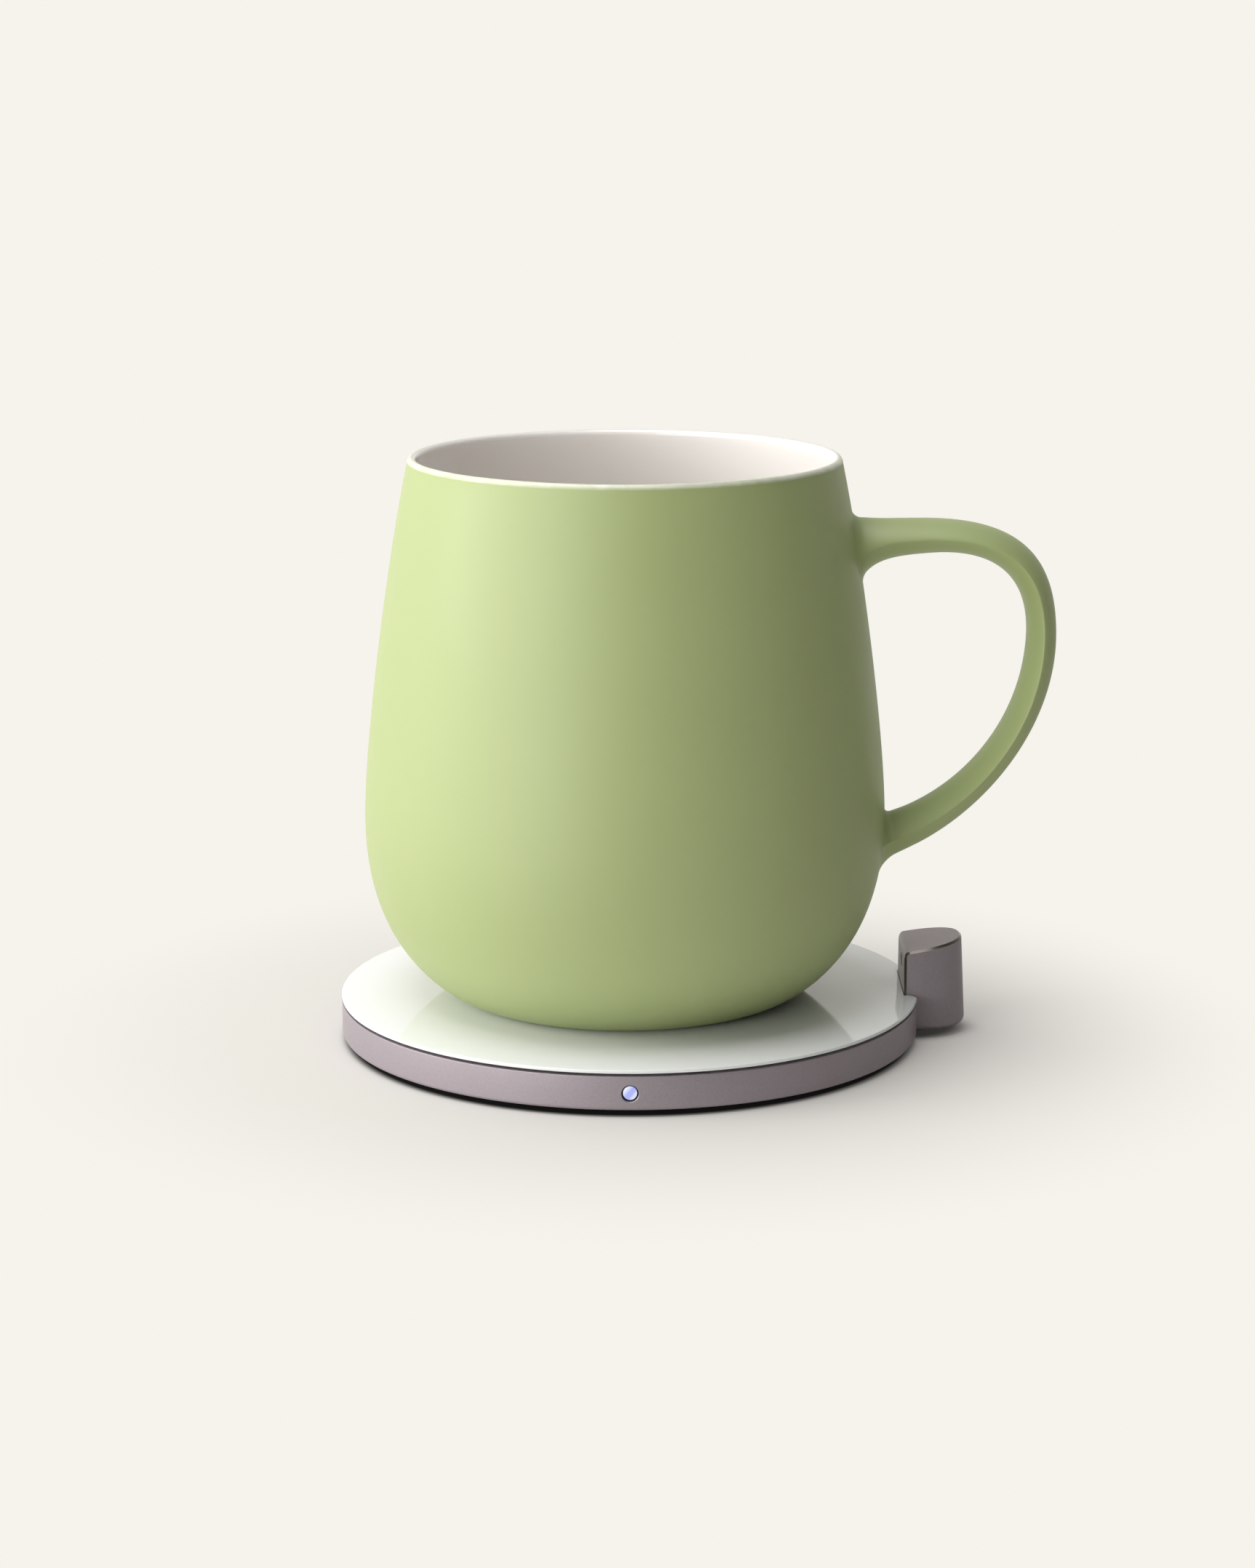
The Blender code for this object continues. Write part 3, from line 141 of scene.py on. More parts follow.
def bezier(controls, count):
    """Bezier curve: the sum of C(n, i) t^i (1-t)^(n-i) P_i for t from 0 to 1."""
    controls = np.asarray(controls, float)
    degree = len(controls) - 1
    share = np.linspace(0, 1, count)[:, None]
    weights = [math.comb(degree, i) * share ** i * (1 - share) ** (degree - i)
               for i in range(degree + 1)]
    return sum(weight * point for weight, point in zip(weights, controls))


def softened(corners, radii, steps=5, closed=True):
    """The outline with each corner rounded: a quadratic curve between points one radius away."""
    corners = np.asarray(corners, float)
    count = len(corners)
    radii = np.broadcast_to(radii, (count,))
    outline = []
    for index, (corner, radius) in enumerate(zip(corners, radii)):
        if radius == 0 or (not closed and index in (0, count - 1)):
            outline.append(corner[None])
            continue
        back = corners[index - 1] - corner
        ahead = corners[(index + 1) % count] - corner
        back_length = np.linalg.norm(back)
        ahead_length = np.linalg.norm(ahead)
        reach = min(radius, CORNER_SHARE * back_length, CORNER_SHARE * ahead_length)
        outline.append(bezier([corner + back / back_length * reach, corner,
                               corner + ahead / ahead_length * reach], steps))
    return np.vstack(outline)


# %% Cutting a hole
def carve(piece, cutter):
    """Cut one object out of another, keep the result as plain mesh and drop the cutter."""
    boolean = piece.modifiers.new("cut", "BOOLEAN")
    boolean.operation = "DIFFERENCE"
    boolean.solver = "EXACT"
    boolean.object = cutter
    result = piece.evaluated_get(bpy.context.evaluated_depsgraph_get())
    carved = bpy.data.meshes.new_from_object(result)
    piece.modifiers.clear()
    piece.data = carved
    carved.shade_smooth()
    carved.set_sharp_from_angle(angle=SMOOTH_ANGLE)
    bpy.data.objects.remove(cutter, do_unlink=True)


def drill(piece, radius, chamfer, face, end, order, centre):
    """Cut a round hole with a chamfered mouth, from 1 mm before a face to its end."""
    profile = [(0, face - MM), (radius + chamfer + MM, face - MM), (radius, face + chamfer),
               (radius, end), (0, end)]
    carve(piece, ring_object("drill", turned_level(profile, order, centre)))


# %% [markdown]
# ## The camera
# The photograph is taken from the front and a little above with a long lens, so the upright lines
# stay nearly parallel. The place, tilt and lens below were solved from the round outlines of the
# pad and the rim of the mug.

# %% Camera
CAMERA_PLACE = (-0.41 * MM, -620 * MM, 181.65 * MM)
CAMERA_TILT = math.radians(12.508)
CAMERA_LENS = 84.68
SENSOR = 36.0

camera_data = bpy.data.cameras.new("camera")
camera_data.lens = CAMERA_LENS
camera_data.sensor_width = SENSOR
camera_data.clip_start = 10 * MM
camera_data.clip_end = 100000 * MM
camera = bpy.data.objects.new("camera", camera_data)
camera.location = CAMERA_PLACE
camera.rotation_euler = (math.pi / 2 - CAMERA_TILT, 0, 0)
bpy.context.collection.objects.link(camera)
bpy.context.scene.camera = camera
print("camera at", CAMERA_PLACE, "tilted", math.degrees(CAMERA_TILT), "degrees down")


# %% [markdown]
# ## Materials
# A real finish is never one flat colour. Three effects are shared, so each is a node group with its
# own numbers in every material: a slow drift of tone, a fine grain, and sparse specks. The shader
# itself stays in each material, so that the number for its coat or its metal can be read off where
# it is used. The helpers below place one node each and feed its inputs.

# %% Placing one node and feeding its inputs
def feed(tree, socket, value):
    """Link an input to an output of another node, or set it to a number, a vector or a colour."""
    if isinstance(value, bpy.types.NodeSocket):
        tree.links.new(value, socket)
    elif isinstance(value, tuple):
        socket.default_value = (*value, 1.0)[:len(socket.default_value)]
    else:
        socket.default_value = value


def add_node(tree, kind, inputs=None, **settings):
    """A new node with its settings, and with its inputs fed by their names or numbers."""
    node = tree.nodes.new("ShaderNode" + kind)
    for label, setting in settings.items():
        setattr(node, label, setting)
    for label, value in (inputs or {}).items():
        feed(tree, node.inputs[label], value)
    return node


# %% Sums with numbers and vectors
def math_node(tree, operation, *values):
    """The result of a Math node."""
    return add_node(tree, "Math", dict(enumerate(values)), operation=operation).outputs[0]


def vector_node(tree, operation, *values):
    """The result of a Vector Math node: a number for a length or a dot product, else a vector."""
    node = add_node(tree, "VectorMath", dict(enumerate(values)), operation=operation)
    return node.outputs["Value" if operation in ("LENGTH", "DOT_PRODUCT") else "Vector"]


# %% Noise, blends, ranges and stored numbers
def noise_node(tree, vector, scale, detail):
    """A noise texture read at a vector."""
    inputs = {"Vector": vector, "Scale": scale, "Detail": detail}
    return add_node(tree, "TexNoise", inputs).outputs["Fac"]


def mix_colours(tree, factor, first, second):
    """Blend of two colours."""
    return add_node(tree, "Mix", {0: factor, 6: first, 7: second}, data_type="RGBA").outputs[2]


def mix_values(tree, factor, first, second):
    """Blend of two numbers."""
    return add_node(tree, "Mix", {0: factor, 2: first, 3: second}, data_type="FLOAT").outputs[0]


def scaled(tree, value, low, high, out_low, out_high):
    """Map a value from one range to another, smoothly and without leaving the second range."""
    inputs = dict(enumerate((value, low, high, out_low, out_high)))
    return add_node(tree, "MapRange", inputs, interpolation_type="SMOOTHSTEP").outputs[0]


def stored(tree, name):
    """The number that the mesh keeps under a name."""
    return add_node(tree, "Attribute", attribute_name=name).outputs["Fac"]


# %% Starting a shared effect
SOCKET_KINDS = {1: "NodeSocketFloat", 3: "NodeSocketVector", 4: "NodeSocketColor"}
ORIGIN = (0, 0, 0)
OPAQUE_WHITE = (1, 1, 1, 1)


def start_group(name, inputs, outputs):
    """An empty node group and its sockets. How many numbers a first value has tells its kind."""
    group = bpy.data.node_groups.new(name, "ShaderNodeTree")
    for side, sockets in (("INPUT", inputs), ("OUTPUT", outputs)):
        for label, value in sockets.items():
            kind = SOCKET_KINDS[np.size(value)]
            group.interface.new_socket(label, in_out=side, socket_type=kind).default_value = value
    given = group.nodes.new("NodeGroupInput").outputs
    return group, given, group.nodes.new("NodeGroupOutput").inputs


# %% Shared effect: a slow drift of tone over a surface
def build_drift():
    """Colour times 1 + amount (noise - 0.5), so that broad areas differ slightly in tone."""
    group, given, put = start_group(
        "tone_drift", {"Vector": ORIGIN, "Colour": OPAQUE_WHITE, "Amount": 0.05, "Scale": 60.0},
        {"Colour": OPAQUE_WHITE, "Value": 0.0})
    noise = noise_node(group, given["Vector"], given["Scale"], detail=3.0)
    centred = math_node(group, "SUBTRACT", noise, 0.5)
    share = math_node(group, "MULTIPLY_ADD", centred, given["Amount"], 1.0)
    toned = add_node(group, "VectorMath", {0: given["Colour"], "Scale": share}, operation="SCALE")
    feed(group, put["Colour"], toned.outputs[0])
    feed(group, put["Value"], noise)
    return group


# %% Shared effect: fine grain, as left by blasting, moulding or glazing
COARSE_SCALE = 0.6
COARSE_SHARE = 0.35


def build_grain():
    """A height: noise at one scale plus about a third as much of a coarser noise."""
    group, given, put = start_group(
        "fine_grain", {"Vector": ORIGIN, "Scale": 5000.0}, {"Height": 0.0})
    fine = noise_node(group, given["Vector"], given["Scale"], detail=1.0)
    coarse_scale = math_node(group, "MULTIPLY", given["Scale"], COARSE_SCALE)
    coarse = noise_node(group, given["Vector"], coarse_scale, detail=2.0)
    feed(group, put["Height"], math_node(group, "MULTIPLY_ADD", coarse, COARSE_SHARE, fine))
    return group


# %% Shared effect: sparse specks
def build_specks():
    """A mask of round specks: 1 within a radius of a few of the cells' points, 0 elsewhere."""
    group, given, put = start_group(
        "sparse_specks", {"Vector": ORIGIN, "Scale": 300.0, "Radius": 0.06, "Share": 0.3},
        {"Mask": 0.0})
    cells = add_node(group, "TexVoronoi", {"Vector": given["Vector"], "Scale": given["Scale"]}).outputs
    near = scaled(group, cells["Distance"], 0.0, given["Radius"], 1.0, 0.0)
    number = add_node(group, "SeparateColor", {0: cells["Color"]}).outputs[0]
    chosen = math_node(group, "LESS_THAN", number, given["Share"])
    feed(group, put["Mask"], math_node(group, "MULTIPLY", near, chosen))
    return group


GROUPS = {"drift": build_drift(), "grain": build_grain(), "specks": build_specks()}
print("shared effects:", ", ".join(GROUPS))


# %% Starting a material, and placing an effect in it
NOISE_SPAN = (0.3, 0.7)


def start_material(name, roughness, metallic=0.0, coat=0.0):
    """A material, its tree, its shader's inputs with plain numbers set, and the coordinates."""
    made = bpy.data.materials.new(name)
    made.use_nodes = True
    tree = made.node_tree
    shader = tree.nodes["Principled BSDF"].inputs
    shader["Roughness"].default_value = roughness
    shader["Metallic"].default_value = metallic
    shader["Coat Weight"].default_value = coat
    return made, tree, shader, add_node(tree, "TexCoord").outputs["Object"]


def effect(tree, kind, place, **values):
    """The outputs of a shared effect, placed in a material with its own values."""
    return add_node(tree, "Group", {"Vector": place, **values}, node_tree=GROUPS[kind]).outputs


def bump(tree, height, depth, **normal):
    """Normal of a bump of a real depth in metres, on top of another Normal if one is given."""
    return add_node(tree, "Bump", {"Height": height, "Distance": depth, **normal}).outputs["Normal"]


def plain_finish(name, colour, roughness, metallic=0.0, coat=0.0, drift=0.12, drift_scale=120.0,
                 grain=5000.0, depth=0.004 * MM, gloss_drift=0.08):
    """A finish with a drift of tone and gloss and a fine grain, for parts with no pattern."""
    made, tree, shader, place = start_material(name, roughness, metallic, coat)
    tone = effect(tree, "drift", place, Colour=colour, Amount=drift, Scale=drift_scale)
    feed(tree, shader["Base Color"], tone["Colour"])
    feed(tree, shader["Roughness"], scaled(tree, tone["Value"], *NOISE_SPAN,
                                           roughness - gloss_drift / 2, roughness + gloss_drift / 2))
    texture = effect(tree, "grain", place, Scale=grain)
    feed(tree, shader["Normal"], bump(tree, texture["Height"], depth))
    return made


# %% [markdown]
# ### Satin glaze
# The mug is dipped in a satin green glaze outside and a bright white one inside. The white comes up
# over the inner part of the lip, and on the lip's outer crest the glaze is thin and half white. The
# line between them is soft and wanders a little. The mesh carries a number at each point that says
# which glaze lies there, so the line follows the surface. The green holds a few pin sized specks,
# and its gloss is broad, not mirror like.

# %% Glaze material
GREEN_GLAZE = (0.352, 0.417, 0.180)
GREEN_SPECK = (0.23, 0.27, 0.12)
WHITE_GLAZE = (0.940, 0.905, 0.865)
BARE_CLAY = (0.58, 0.52, 0.44)
GREEN_ROUGHNESS = 0.52
GREEN_GLOSS_DRIFT = 0.03
WHITE_ROUGHNESS = 0.1
CLAY_ROUGHNESS = 0.85
GLAZE_SHINE = 0.6
SPECK_STRENGTH = 0.35
LINE_WANDER = 0.24
LINE_EDGE = (0.1, 0.9)
PINHOLE_DEPTH = 0.0012 * MM
SWELL_DEPTH = 0.006 * MM


def glaze_finish():
    """Green outside, white where the attribute 'inside' is 1, and bare clay where 'bare' is 1."""
    made, tree, shader, place = start_material("mug_glaze", GREEN_ROUGHNESS)
    shader["Specular IOR Level"].default_value = GLAZE_SHINE
    tone = effect(tree, "drift", place, Colour=GREEN_GLAZE, Amount=0.035, Scale=55.0)
    specks = effect(tree, "specks", place, Scale=330.0, Radius=0.05, Share=0.12)
    faint = math_node(tree, "MULTIPLY", specks["Mask"], SPECK_STRENGTH)
    colour = mix_colours(tree, faint, tone["Colour"], GREEN_SPECK)
    gloss = scaled(tree, tone["Value"], *NOISE_SPAN, GREEN_ROUGHNESS - GREEN_GLOSS_DRIFT,
                   GREEN_ROUGHNESS + GREEN_GLOSS_DRIFT)
    wander = noise_node(tree, place, scale=420.0, detail=3.0)
    shift = math_node(tree, "MULTIPLY_ADD", wander, LINE_WANDER, -LINE_WANDER / 2)
    for name, cover, roughness in (("inside", WHITE_GLAZE, WHITE_ROUGHNESS),
                                   ("bare", BARE_CLAY, CLAY_ROUGHNESS)):
        moved = math_node(tree, "ADD", stored(tree, name), shift)
        mask = scaled(tree, moved, *LINE_EDGE, 0.0, 1.0)
        colour = mix_colours(tree, mask, colour, cover)
        gloss = mix_values(tree, mask, gloss, roughness)
    feed(tree, shader["Base Color"], colour)
    feed(tree, shader["Roughness"], gloss)
    grain = effect(tree, "grain", place, Scale=2600.0)
    fine = bump(tree, grain["Height"], PINHOLE_DEPTH)
    swell = noise_node(tree, place, scale=260.0, detail=1.0)
    feed(tree, shader["Normal"], bump(tree, swell, SWELL_DEPTH, Normal=fine))
    return made


# %% [markdown]
# ### Blasted aluminium
# The band and the post are blasted with fine beads and anodised in a warm mauve grey. The oxide skin
# scatters part of the light, so the metal counts for only a part. Up close the skin is a field of
# tiny dimples, some of which catch the light, so one grain drives the bump, the roughness and the
# tone; the lighter tone of the raised specks is part grain and part painted glint. The post's
# edges are cut after that, and there the metal is smooth and dark.

# %% Aluminium material
MAUVE_DARK = (0.322, 0.282, 0.307)
MAUVE_GRAIN_GLINT = (0.418, 0.366, 0.398)
METAL_SHARE = 0.6
SKIN_ROUGHNESS = (0.56, 0.40)
DIMPLE_SPAN = (0.4, 1.0)
DIMPLE_DEPTH = 0.008 * MM
CUT_METAL = (0.13, 0.12, 0.10)
CUT_ROUGHNESS = 0.26


def aluminium_finish():
    """Grain that dimples the surface, raised specks smoother and lighter (grain and painted glint), none
    on cut edges.
    """
    made, tree, shader, place = start_material("blasted_aluminium", SKIN_ROUGHNESS[0], METAL_SHARE)
    grain = effect(tree, "grain", place, Scale=11000.0)["Height"]
    # painted glint: the grain's raised specks take the lighter mauve, part grain tone and part glint
    light = scaled(tree, grain, *DIMPLE_SPAN, 0.0, 1.0)
    colour = mix_colours(tree, light, MAUVE_DARK, MAUVE_GRAIN_GLINT)
    tone = effect(tree, "drift", place, Colour=colour, Amount=0.05, Scale=90.0)
    cut = stored(tree, "cut")
    feed(tree, shader["Base Color"], mix_colours(tree, cut, tone["Colour"], CUT_METAL))
    skin = scaled(tree, light, 0.0, 1.0, *SKIN_ROUGHNESS)
    feed(tree, shader["Roughness"], mix_values(tree, cut, skin, CUT_ROUGHNESS))
    dimples = math_node(tree, "MULTIPLY", grain, math_node(tree, "SUBTRACT", 1.0, cut))
    feed(tree, shader["Normal"], bump(tree, dimples, DIMPLE_DEPTH))
    return made


# %% [markdown]
# ### White glass
# The top is clear glass printed white from behind. Seen from above it is a milky white with a sharp
# reflection on it, and at its polished edge the glass itself shows, slightly green, and is painted
# a little darker there as shade. A smooth shader over a white colour gives that look without the
# noise of real refraction.

# %% Glass material
MILK_WHITE = (0.85, 0.85, 0.87)
EDGE_GREEN_SHADED = (0.77, 0.79, 0.78)
GLASS_RIM = 49.7 * MM
RIM_BLEND = 0.3 * MM
GLASS_ROUGHNESS = (0.04, 0.08)


def glass_finish():
    """White by its distance from the axis, greener past the start of the rounded edge, and there darker
    as painted shade.
    """
    made, tree, shader, place = start_material("white_glass", GLASS_ROUGHNESS[1])
    tone = effect(tree, "drift", place, Colour=MILK_WHITE, Amount=0.02, Scale=40.0)
    reach = vector_node(tree, "LENGTH", vector_node(tree, "MULTIPLY", place, (1, 1, 0)))
    # painted shade: past the start of the rounded edge the colour is darker as well as greener
    rim = scaled(tree, reach, GLASS_RIM, GLASS_RIM + RIM_BLEND, 0.0, 1.0)
    feed(tree, shader["Base Color"], mix_colours(tree, rim, tone["Colour"], EDGE_GREEN_SHADED))
    polish = noise_node(tree, place, scale=30.0, detail=1.0)
    feed(tree, shader["Roughness"], scaled(tree, polish, *NOISE_SPAN, *GLASS_ROUGHNESS))
    return made


# %% [markdown]
# ### The lamp
# The lamp is a clear light guide with a domed face. Lit from behind, the face glows in a pale violet
# blue, and towards the upper left and the lower right it turns white. Its sides stay dark.

# %% Lamp material
LAMP_WHITE = (0.82, 0.86, 1.0)
LAMP_BLUE = (0.44, 0.49, 1.0)
LAMP_DARK = (0.0, 0.0, 0.0)
LAMP_BODY = (0.05, 0.055, 0.09)
LAMP_GLOW = 0.86
LAMP_SLANT = (-0.77, 0, 0.64)
BLUE_SHIFT = 0.05
BLUE_WANDER = 0.4
BLUE_EDGE = (0.35, 0.95)
FACE_BLEND = 0.05 * MM


def lamp_finish(height, radius, face):
    """White where the distance to the face's rising diagonal is large, violet blue along it.

    Behind the depth called face nothing glows, so the hole round the lens stays dark.
    """
    made, tree, shader, place = start_material("lit_lamp", roughness=0.2)
    slant = vector_node(tree, "DOT_PRODUCT", vector_node(tree, "SUBTRACT", place, (0, 0, height)),
                        LAMP_SLANT)
    side = math_node(tree, "ABSOLUTE", math_node(tree, "ADD", slant, BLUE_SHIFT * radius))
    cloud = noise_node(tree, place, scale=1500.0, detail=2.0)
    spread = math_node(tree, "MULTIPLY_ADD", cloud, BLUE_WANDER * radius, side)
    edge = scaled(tree, spread, BLUE_EDGE[0] * radius, BLUE_EDGE[1] * radius, 0.0, 1.0)
    colour = mix_colours(tree, edge, LAMP_BLUE, LAMP_WHITE)
    depth = add_node(tree, "SeparateXYZ", {0: place}).outputs[1]
    behind = scaled(tree, depth, face, face + FACE_BLEND, 0.0, 1.0)
    feed(tree, shader["Emission Color"], mix_colours(tree, behind, colour, LAMP_DARK))
    feed(tree, shader["Base Color"], LAMP_BODY)
    shader["Emission Strength"].default_value = LAMP_GLOW
    return made


# %% [markdown]
# ### What lies inside
# The boards, coils and seals are seen only when the model is taken apart, but each still has its
# own finish: enamelled copper wire, sintered ferrite, green boards with their tracks, amber film
# with its printed copper, and plain moulded or plated parts.

# %% Materials of the inner parts
BOARD_GREEN = (0.02, 0.13, 0.055)
TRACK_GREEN = (0.05, 0.24, 0.10)
AMBER = (0.55, 0.25, 0.045)
FILM_COPPER = (0.62, 0.34, 0.18)
TRACK_DEPTH = 0.02 * MM


def striped_finish(name, base, line, roughness, scale, width, coat):
    """Bands of a second colour that wander like tracks: a wave texture cut at a width."""
    made, tree, shader, place = start_material(name, roughness, coat=coat)
    wave = add_node(tree, "TexWave", {"Vector": place, "Scale": scale, "Distortion": 6.0, "Detail": 0.0})
    mask = scaled(tree, wave.outputs["Fac"], 1 - width, 1 - width / 2, 0.0, 1.0)
    tone = effect(tree, "drift", place, Colour=base, Amount=0.15, Scale=150.0)
    feed(tree, shader["Base Color"], mix_colours(tree, mask, tone["Colour"], line))
    feed(tree, shader["Normal"], bump(tree, mask, TRACK_DEPTH))
    return made


FINISH = {
    "ceramic": glaze_finish(),
    "aluminium": aluminium_finish(),
    "glass": glass_finish(),
    "mug_cover": plain_finish("mug_cover_plastic", (0.33, 0.39, 0.23), roughness=0.5, depth=0.008 * MM),
    "rubber": plain_finish("black_rubber", (0.018, 0.018, 0.019), roughness=0.78, grain=3500.0,
                           depth=0.02 * MM),
    "dark_plastic": plain_finish("dark_plastic", (0.035, 0.034, 0.036), roughness=0.52, grain=4000.0,
                                 depth=0.012 * MM),
    "copper": plain_finish("enamelled_copper", (0.62, 0.27, 0.13), roughness=0.28, metallic=1.0, coat=0.5,
                           drift=0.25, drift_scale=300.0),
    "ferrite": plain_finish("sintered_ferrite", (0.05, 0.048, 0.047), roughness=0.72, grain=3000.0,
                            depth=0.015 * MM),
    "circuit_board": striped_finish("circuit_board", BOARD_GREEN, TRACK_GREEN, roughness=0.35,
                                    scale=220.0, width=0.3, coat=0.4),
    "chip": plain_finish("chip_moulding", (0.02, 0.02, 0.022), roughness=0.48, depth=0.006 * MM),
    "capacitor": plain_finish("capacitor_ceramic", (0.36, 0.27, 0.17), roughness=0.5, drift=0.2),
    "steel": plain_finish("plated_steel", (0.60, 0.59, 0.58), roughness=0.3, metallic=1.0, drift=0.1),
    "led": plain_finish("led_package", (0.85, 0.84, 0.78), roughness=0.4),
    "window": plain_finish("window_black", (0.006, 0.006, 0.008), roughness=0.08, coat=1.0, drift=0.05,
                           depth=0.0005 * MM, gloss_drift=0.02),
    "polyimide": striped_finish("amber_film", AMBER, FILM_COPPER, roughness=0.3, scale=160.0,
                                width=0.5, coat=0.3),
    "foam": plain_finish("fibre_felt", (0.74, 0.72, 0.66), roughness=0.92, drift=0.2, grain=2200.0,
                         depth=0.06 * MM),
}
print("finishes:", ", ".join(sorted(FINISH)))

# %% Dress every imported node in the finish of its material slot
slot_of = {entry["node"]: entry["material_slot"] for entry in frame["record"]["subparts"]}
for node, solid in frame["nodes"].items():
    solid.data.materials.clear()
    solid.data.materials.append(FINISH.get(slot_of[node], FINISH["led"]))


# %% Putting a new piece in its place
def ride_on(piece, body, slot, *nodes):
    """Dress a new piece in its slot's finish, let it move with a body and stand for its nodes."""
    piece.data.materials.append(FINISH[slot])
    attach(piece, body)
    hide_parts(*nodes)
    print(piece.name, "stands for", ", ".join(nodes), "with", len(piece.data.polygons), "faces")


# %% [markdown]
# ## The mug
# A pot like this is cast in a mould from one turned shape, so the wall is a profile spun about an
# upright axis. Two Bezier stretches make the outside: a full curve from the foot to the widest line
# of the belly, and a long, nearly straight one that leans in to the rim. The inside follows it, a
# wall's width away, and the lip is half an ellipse between the two.

# %% Sizes of the mug, in its own frame with the foot at zero
mug_low, mug_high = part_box("mug_body")
MUG_FOOT_Z = mug_low[2]
MUG_BELLY_RADIUS = mug_high[1]
MUG_OFF_CENTRE = 0.85 * MM
MUG_AXIS = (-MUG_OFF_CENTRE, 0)
FOOT_RADIUS = 26.85 * MM
BELLY_HEIGHT = 30.55 * MM
RIM_RADIUS = 36.77 * MM
LIP_WIDTH = 1.57 * MM
LIP_ROUND = 0.95 * MM
RIM_HEIGHT = mug_high[2] - MUG_FOOT_Z - LIP_ROUND
BELLY_WALL = 3.3 * MM
FLOOR_FLAT_RADIUS = 15.0 * MM
FLOOR_HEIGHT = 10.5 * MM
RECESS_RADIUS = 24.2 * MM
RECESS_ROOF = 7.5 * MM
FOOT_DROP = 0.26 * MM
FOOT_DROP_REACH = 8.0 * MM
print("mug: foot at", MUG_FOOT_Z / MM, "mm, rim", RIM_HEIGHT / MM, "mm above it")

# %% Profile of the mug
FOOT_CURVE_SHARE = 0.212
BELLY_LOW_SHARE = 0.762
BELLY_HIGH_SHARE = 0.212
RIM_CURVE_SHARE = 0.274
RIM_LEAN_SHARE = 0.215
INNER_LEAN_SHARE = 0.194
INNER_BELLY_SHARE = 0.6
INNER_FLOOR_SHARE = 0.45
FOOT_POINTS = 40
SIDE_POINTS = 48
LIP_POINTS = 19
INNER_POINTS = 40
FLOOR_POINTS = 28
rise = RIM_HEIGHT - BELLY_HEIGHT
reach = RIM_CURVE_SHARE * rise
inner_belly = MUG_BELLY_RADIUS - BELLY_WALL
outer_profile = np.vstack([
    bezier([(FOOT_RADIUS, 0),
            (FOOT_RADIUS + FOOT_CURVE_SHARE * (MUG_BELLY_RADIUS - FOOT_RADIUS), 0),
            (MUG_BELLY_RADIUS, BELLY_HEIGHT * (1 - BELLY_LOW_SHARE)),
            (MUG_BELLY_RADIUS, BELLY_HEIGHT)], FOOT_POINTS),
    bezier([(MUG_BELLY_RADIUS, BELLY_HEIGHT),
            (MUG_BELLY_RADIUS, BELLY_HEIGHT + BELLY_HIGH_SHARE * rise),
            (RIM_RADIUS + RIM_LEAN_SHARE * reach, RIM_HEIGHT - reach),
            (RIM_RADIUS, RIM_HEIGHT)], SIDE_POINTS)[1:],
])
lip_angle = np.linspace(0, math.pi, LIP_POINTS)[1:-1]
lip_profile = np.column_stack([
    RIM_RADIUS - LIP_WIDTH / 2 + LIP_WIDTH / 2 * np.cos(lip_angle),
    RIM_HEIGHT + LIP_ROUND * np.sin(lip_angle)])
inner_profile = np.vstack([
    bezier([(RIM_RADIUS - LIP_WIDTH, RIM_HEIGHT),
            (RIM_RADIUS - LIP_WIDTH + INNER_LEAN_SHARE * reach, RIM_HEIGHT - reach),
            (inner_belly, BELLY_HEIGHT + BELLY_HIGH_SHARE * rise),
            (inner_belly, BELLY_HEIGHT)], INNER_POINTS),
    bezier([(inner_belly, BELLY_HEIGHT),
            (inner_belly, BELLY_HEIGHT - INNER_BELLY_SHARE * (BELLY_HEIGHT - FLOOR_HEIGHT)),
            (FLOOR_FLAT_RADIUS + INNER_FLOOR_SHARE * (inner_belly - FLOOR_FLAT_RADIUS), FLOOR_HEIGHT),
            (FLOOR_FLAT_RADIUS, FLOOR_HEIGHT)], FLOOR_POINTS)[1:],
    [(FLOOR_FLAT_RADIUS / 2, FLOOR_HEIGHT), (0, FLOOR_HEIGHT)],
])
foot_profile = np.array([(0, RECESS_ROOF), (RECESS_RADIUS, RECESS_ROOF), (RECESS_RADIUS, 0)])
print("profile points:", len(outer_profile) + len(lip_profile) + len(inner_profile))


# %% [markdown]
# ### Which glaze lies where
# Two numbers travel with the mesh's points, and the glaze material reads them. 'inside' is 1 in the
# cup and on the inner part of the lip, and a half where the glaze is thin on the lip's outer crest.
# 'bare' is 1 on the foot ring and in the recess below, where the kiln shelf forbids glaze.

# %% Wall of the mug
GLAZE_LINE = 0.10 * MM
GLAZE_BLEND = 0.9 * MM
LIP_CREST = 0.62
LIP_BLEND = 0.3
THIN_GLAZE = 0.5
FOOT_BARE = 0.5 * MM


def store(piece, name, values, domain="POINT"):
    """Keep one number per point, or per face, on a mesh, for its material to read."""
    attribute = piece.data.attributes.new(name, "FLOAT", domain)
    attribute.data.foreach_set("value", np.asarray(values, np.float32))


def points_of(piece):
    """The mesh's points as an array."""
    points = np.empty(len(piece.data.vertices) * 3)
    piece.data.vertices.foreach_get("co", points)
    return points.reshape(-1, 3)


def outer_radius(height):
    """Radius of the mug's outside at a height above its foot."""
    return np.interp(height, outer_profile[:, 1], outer_profile[:, 0])


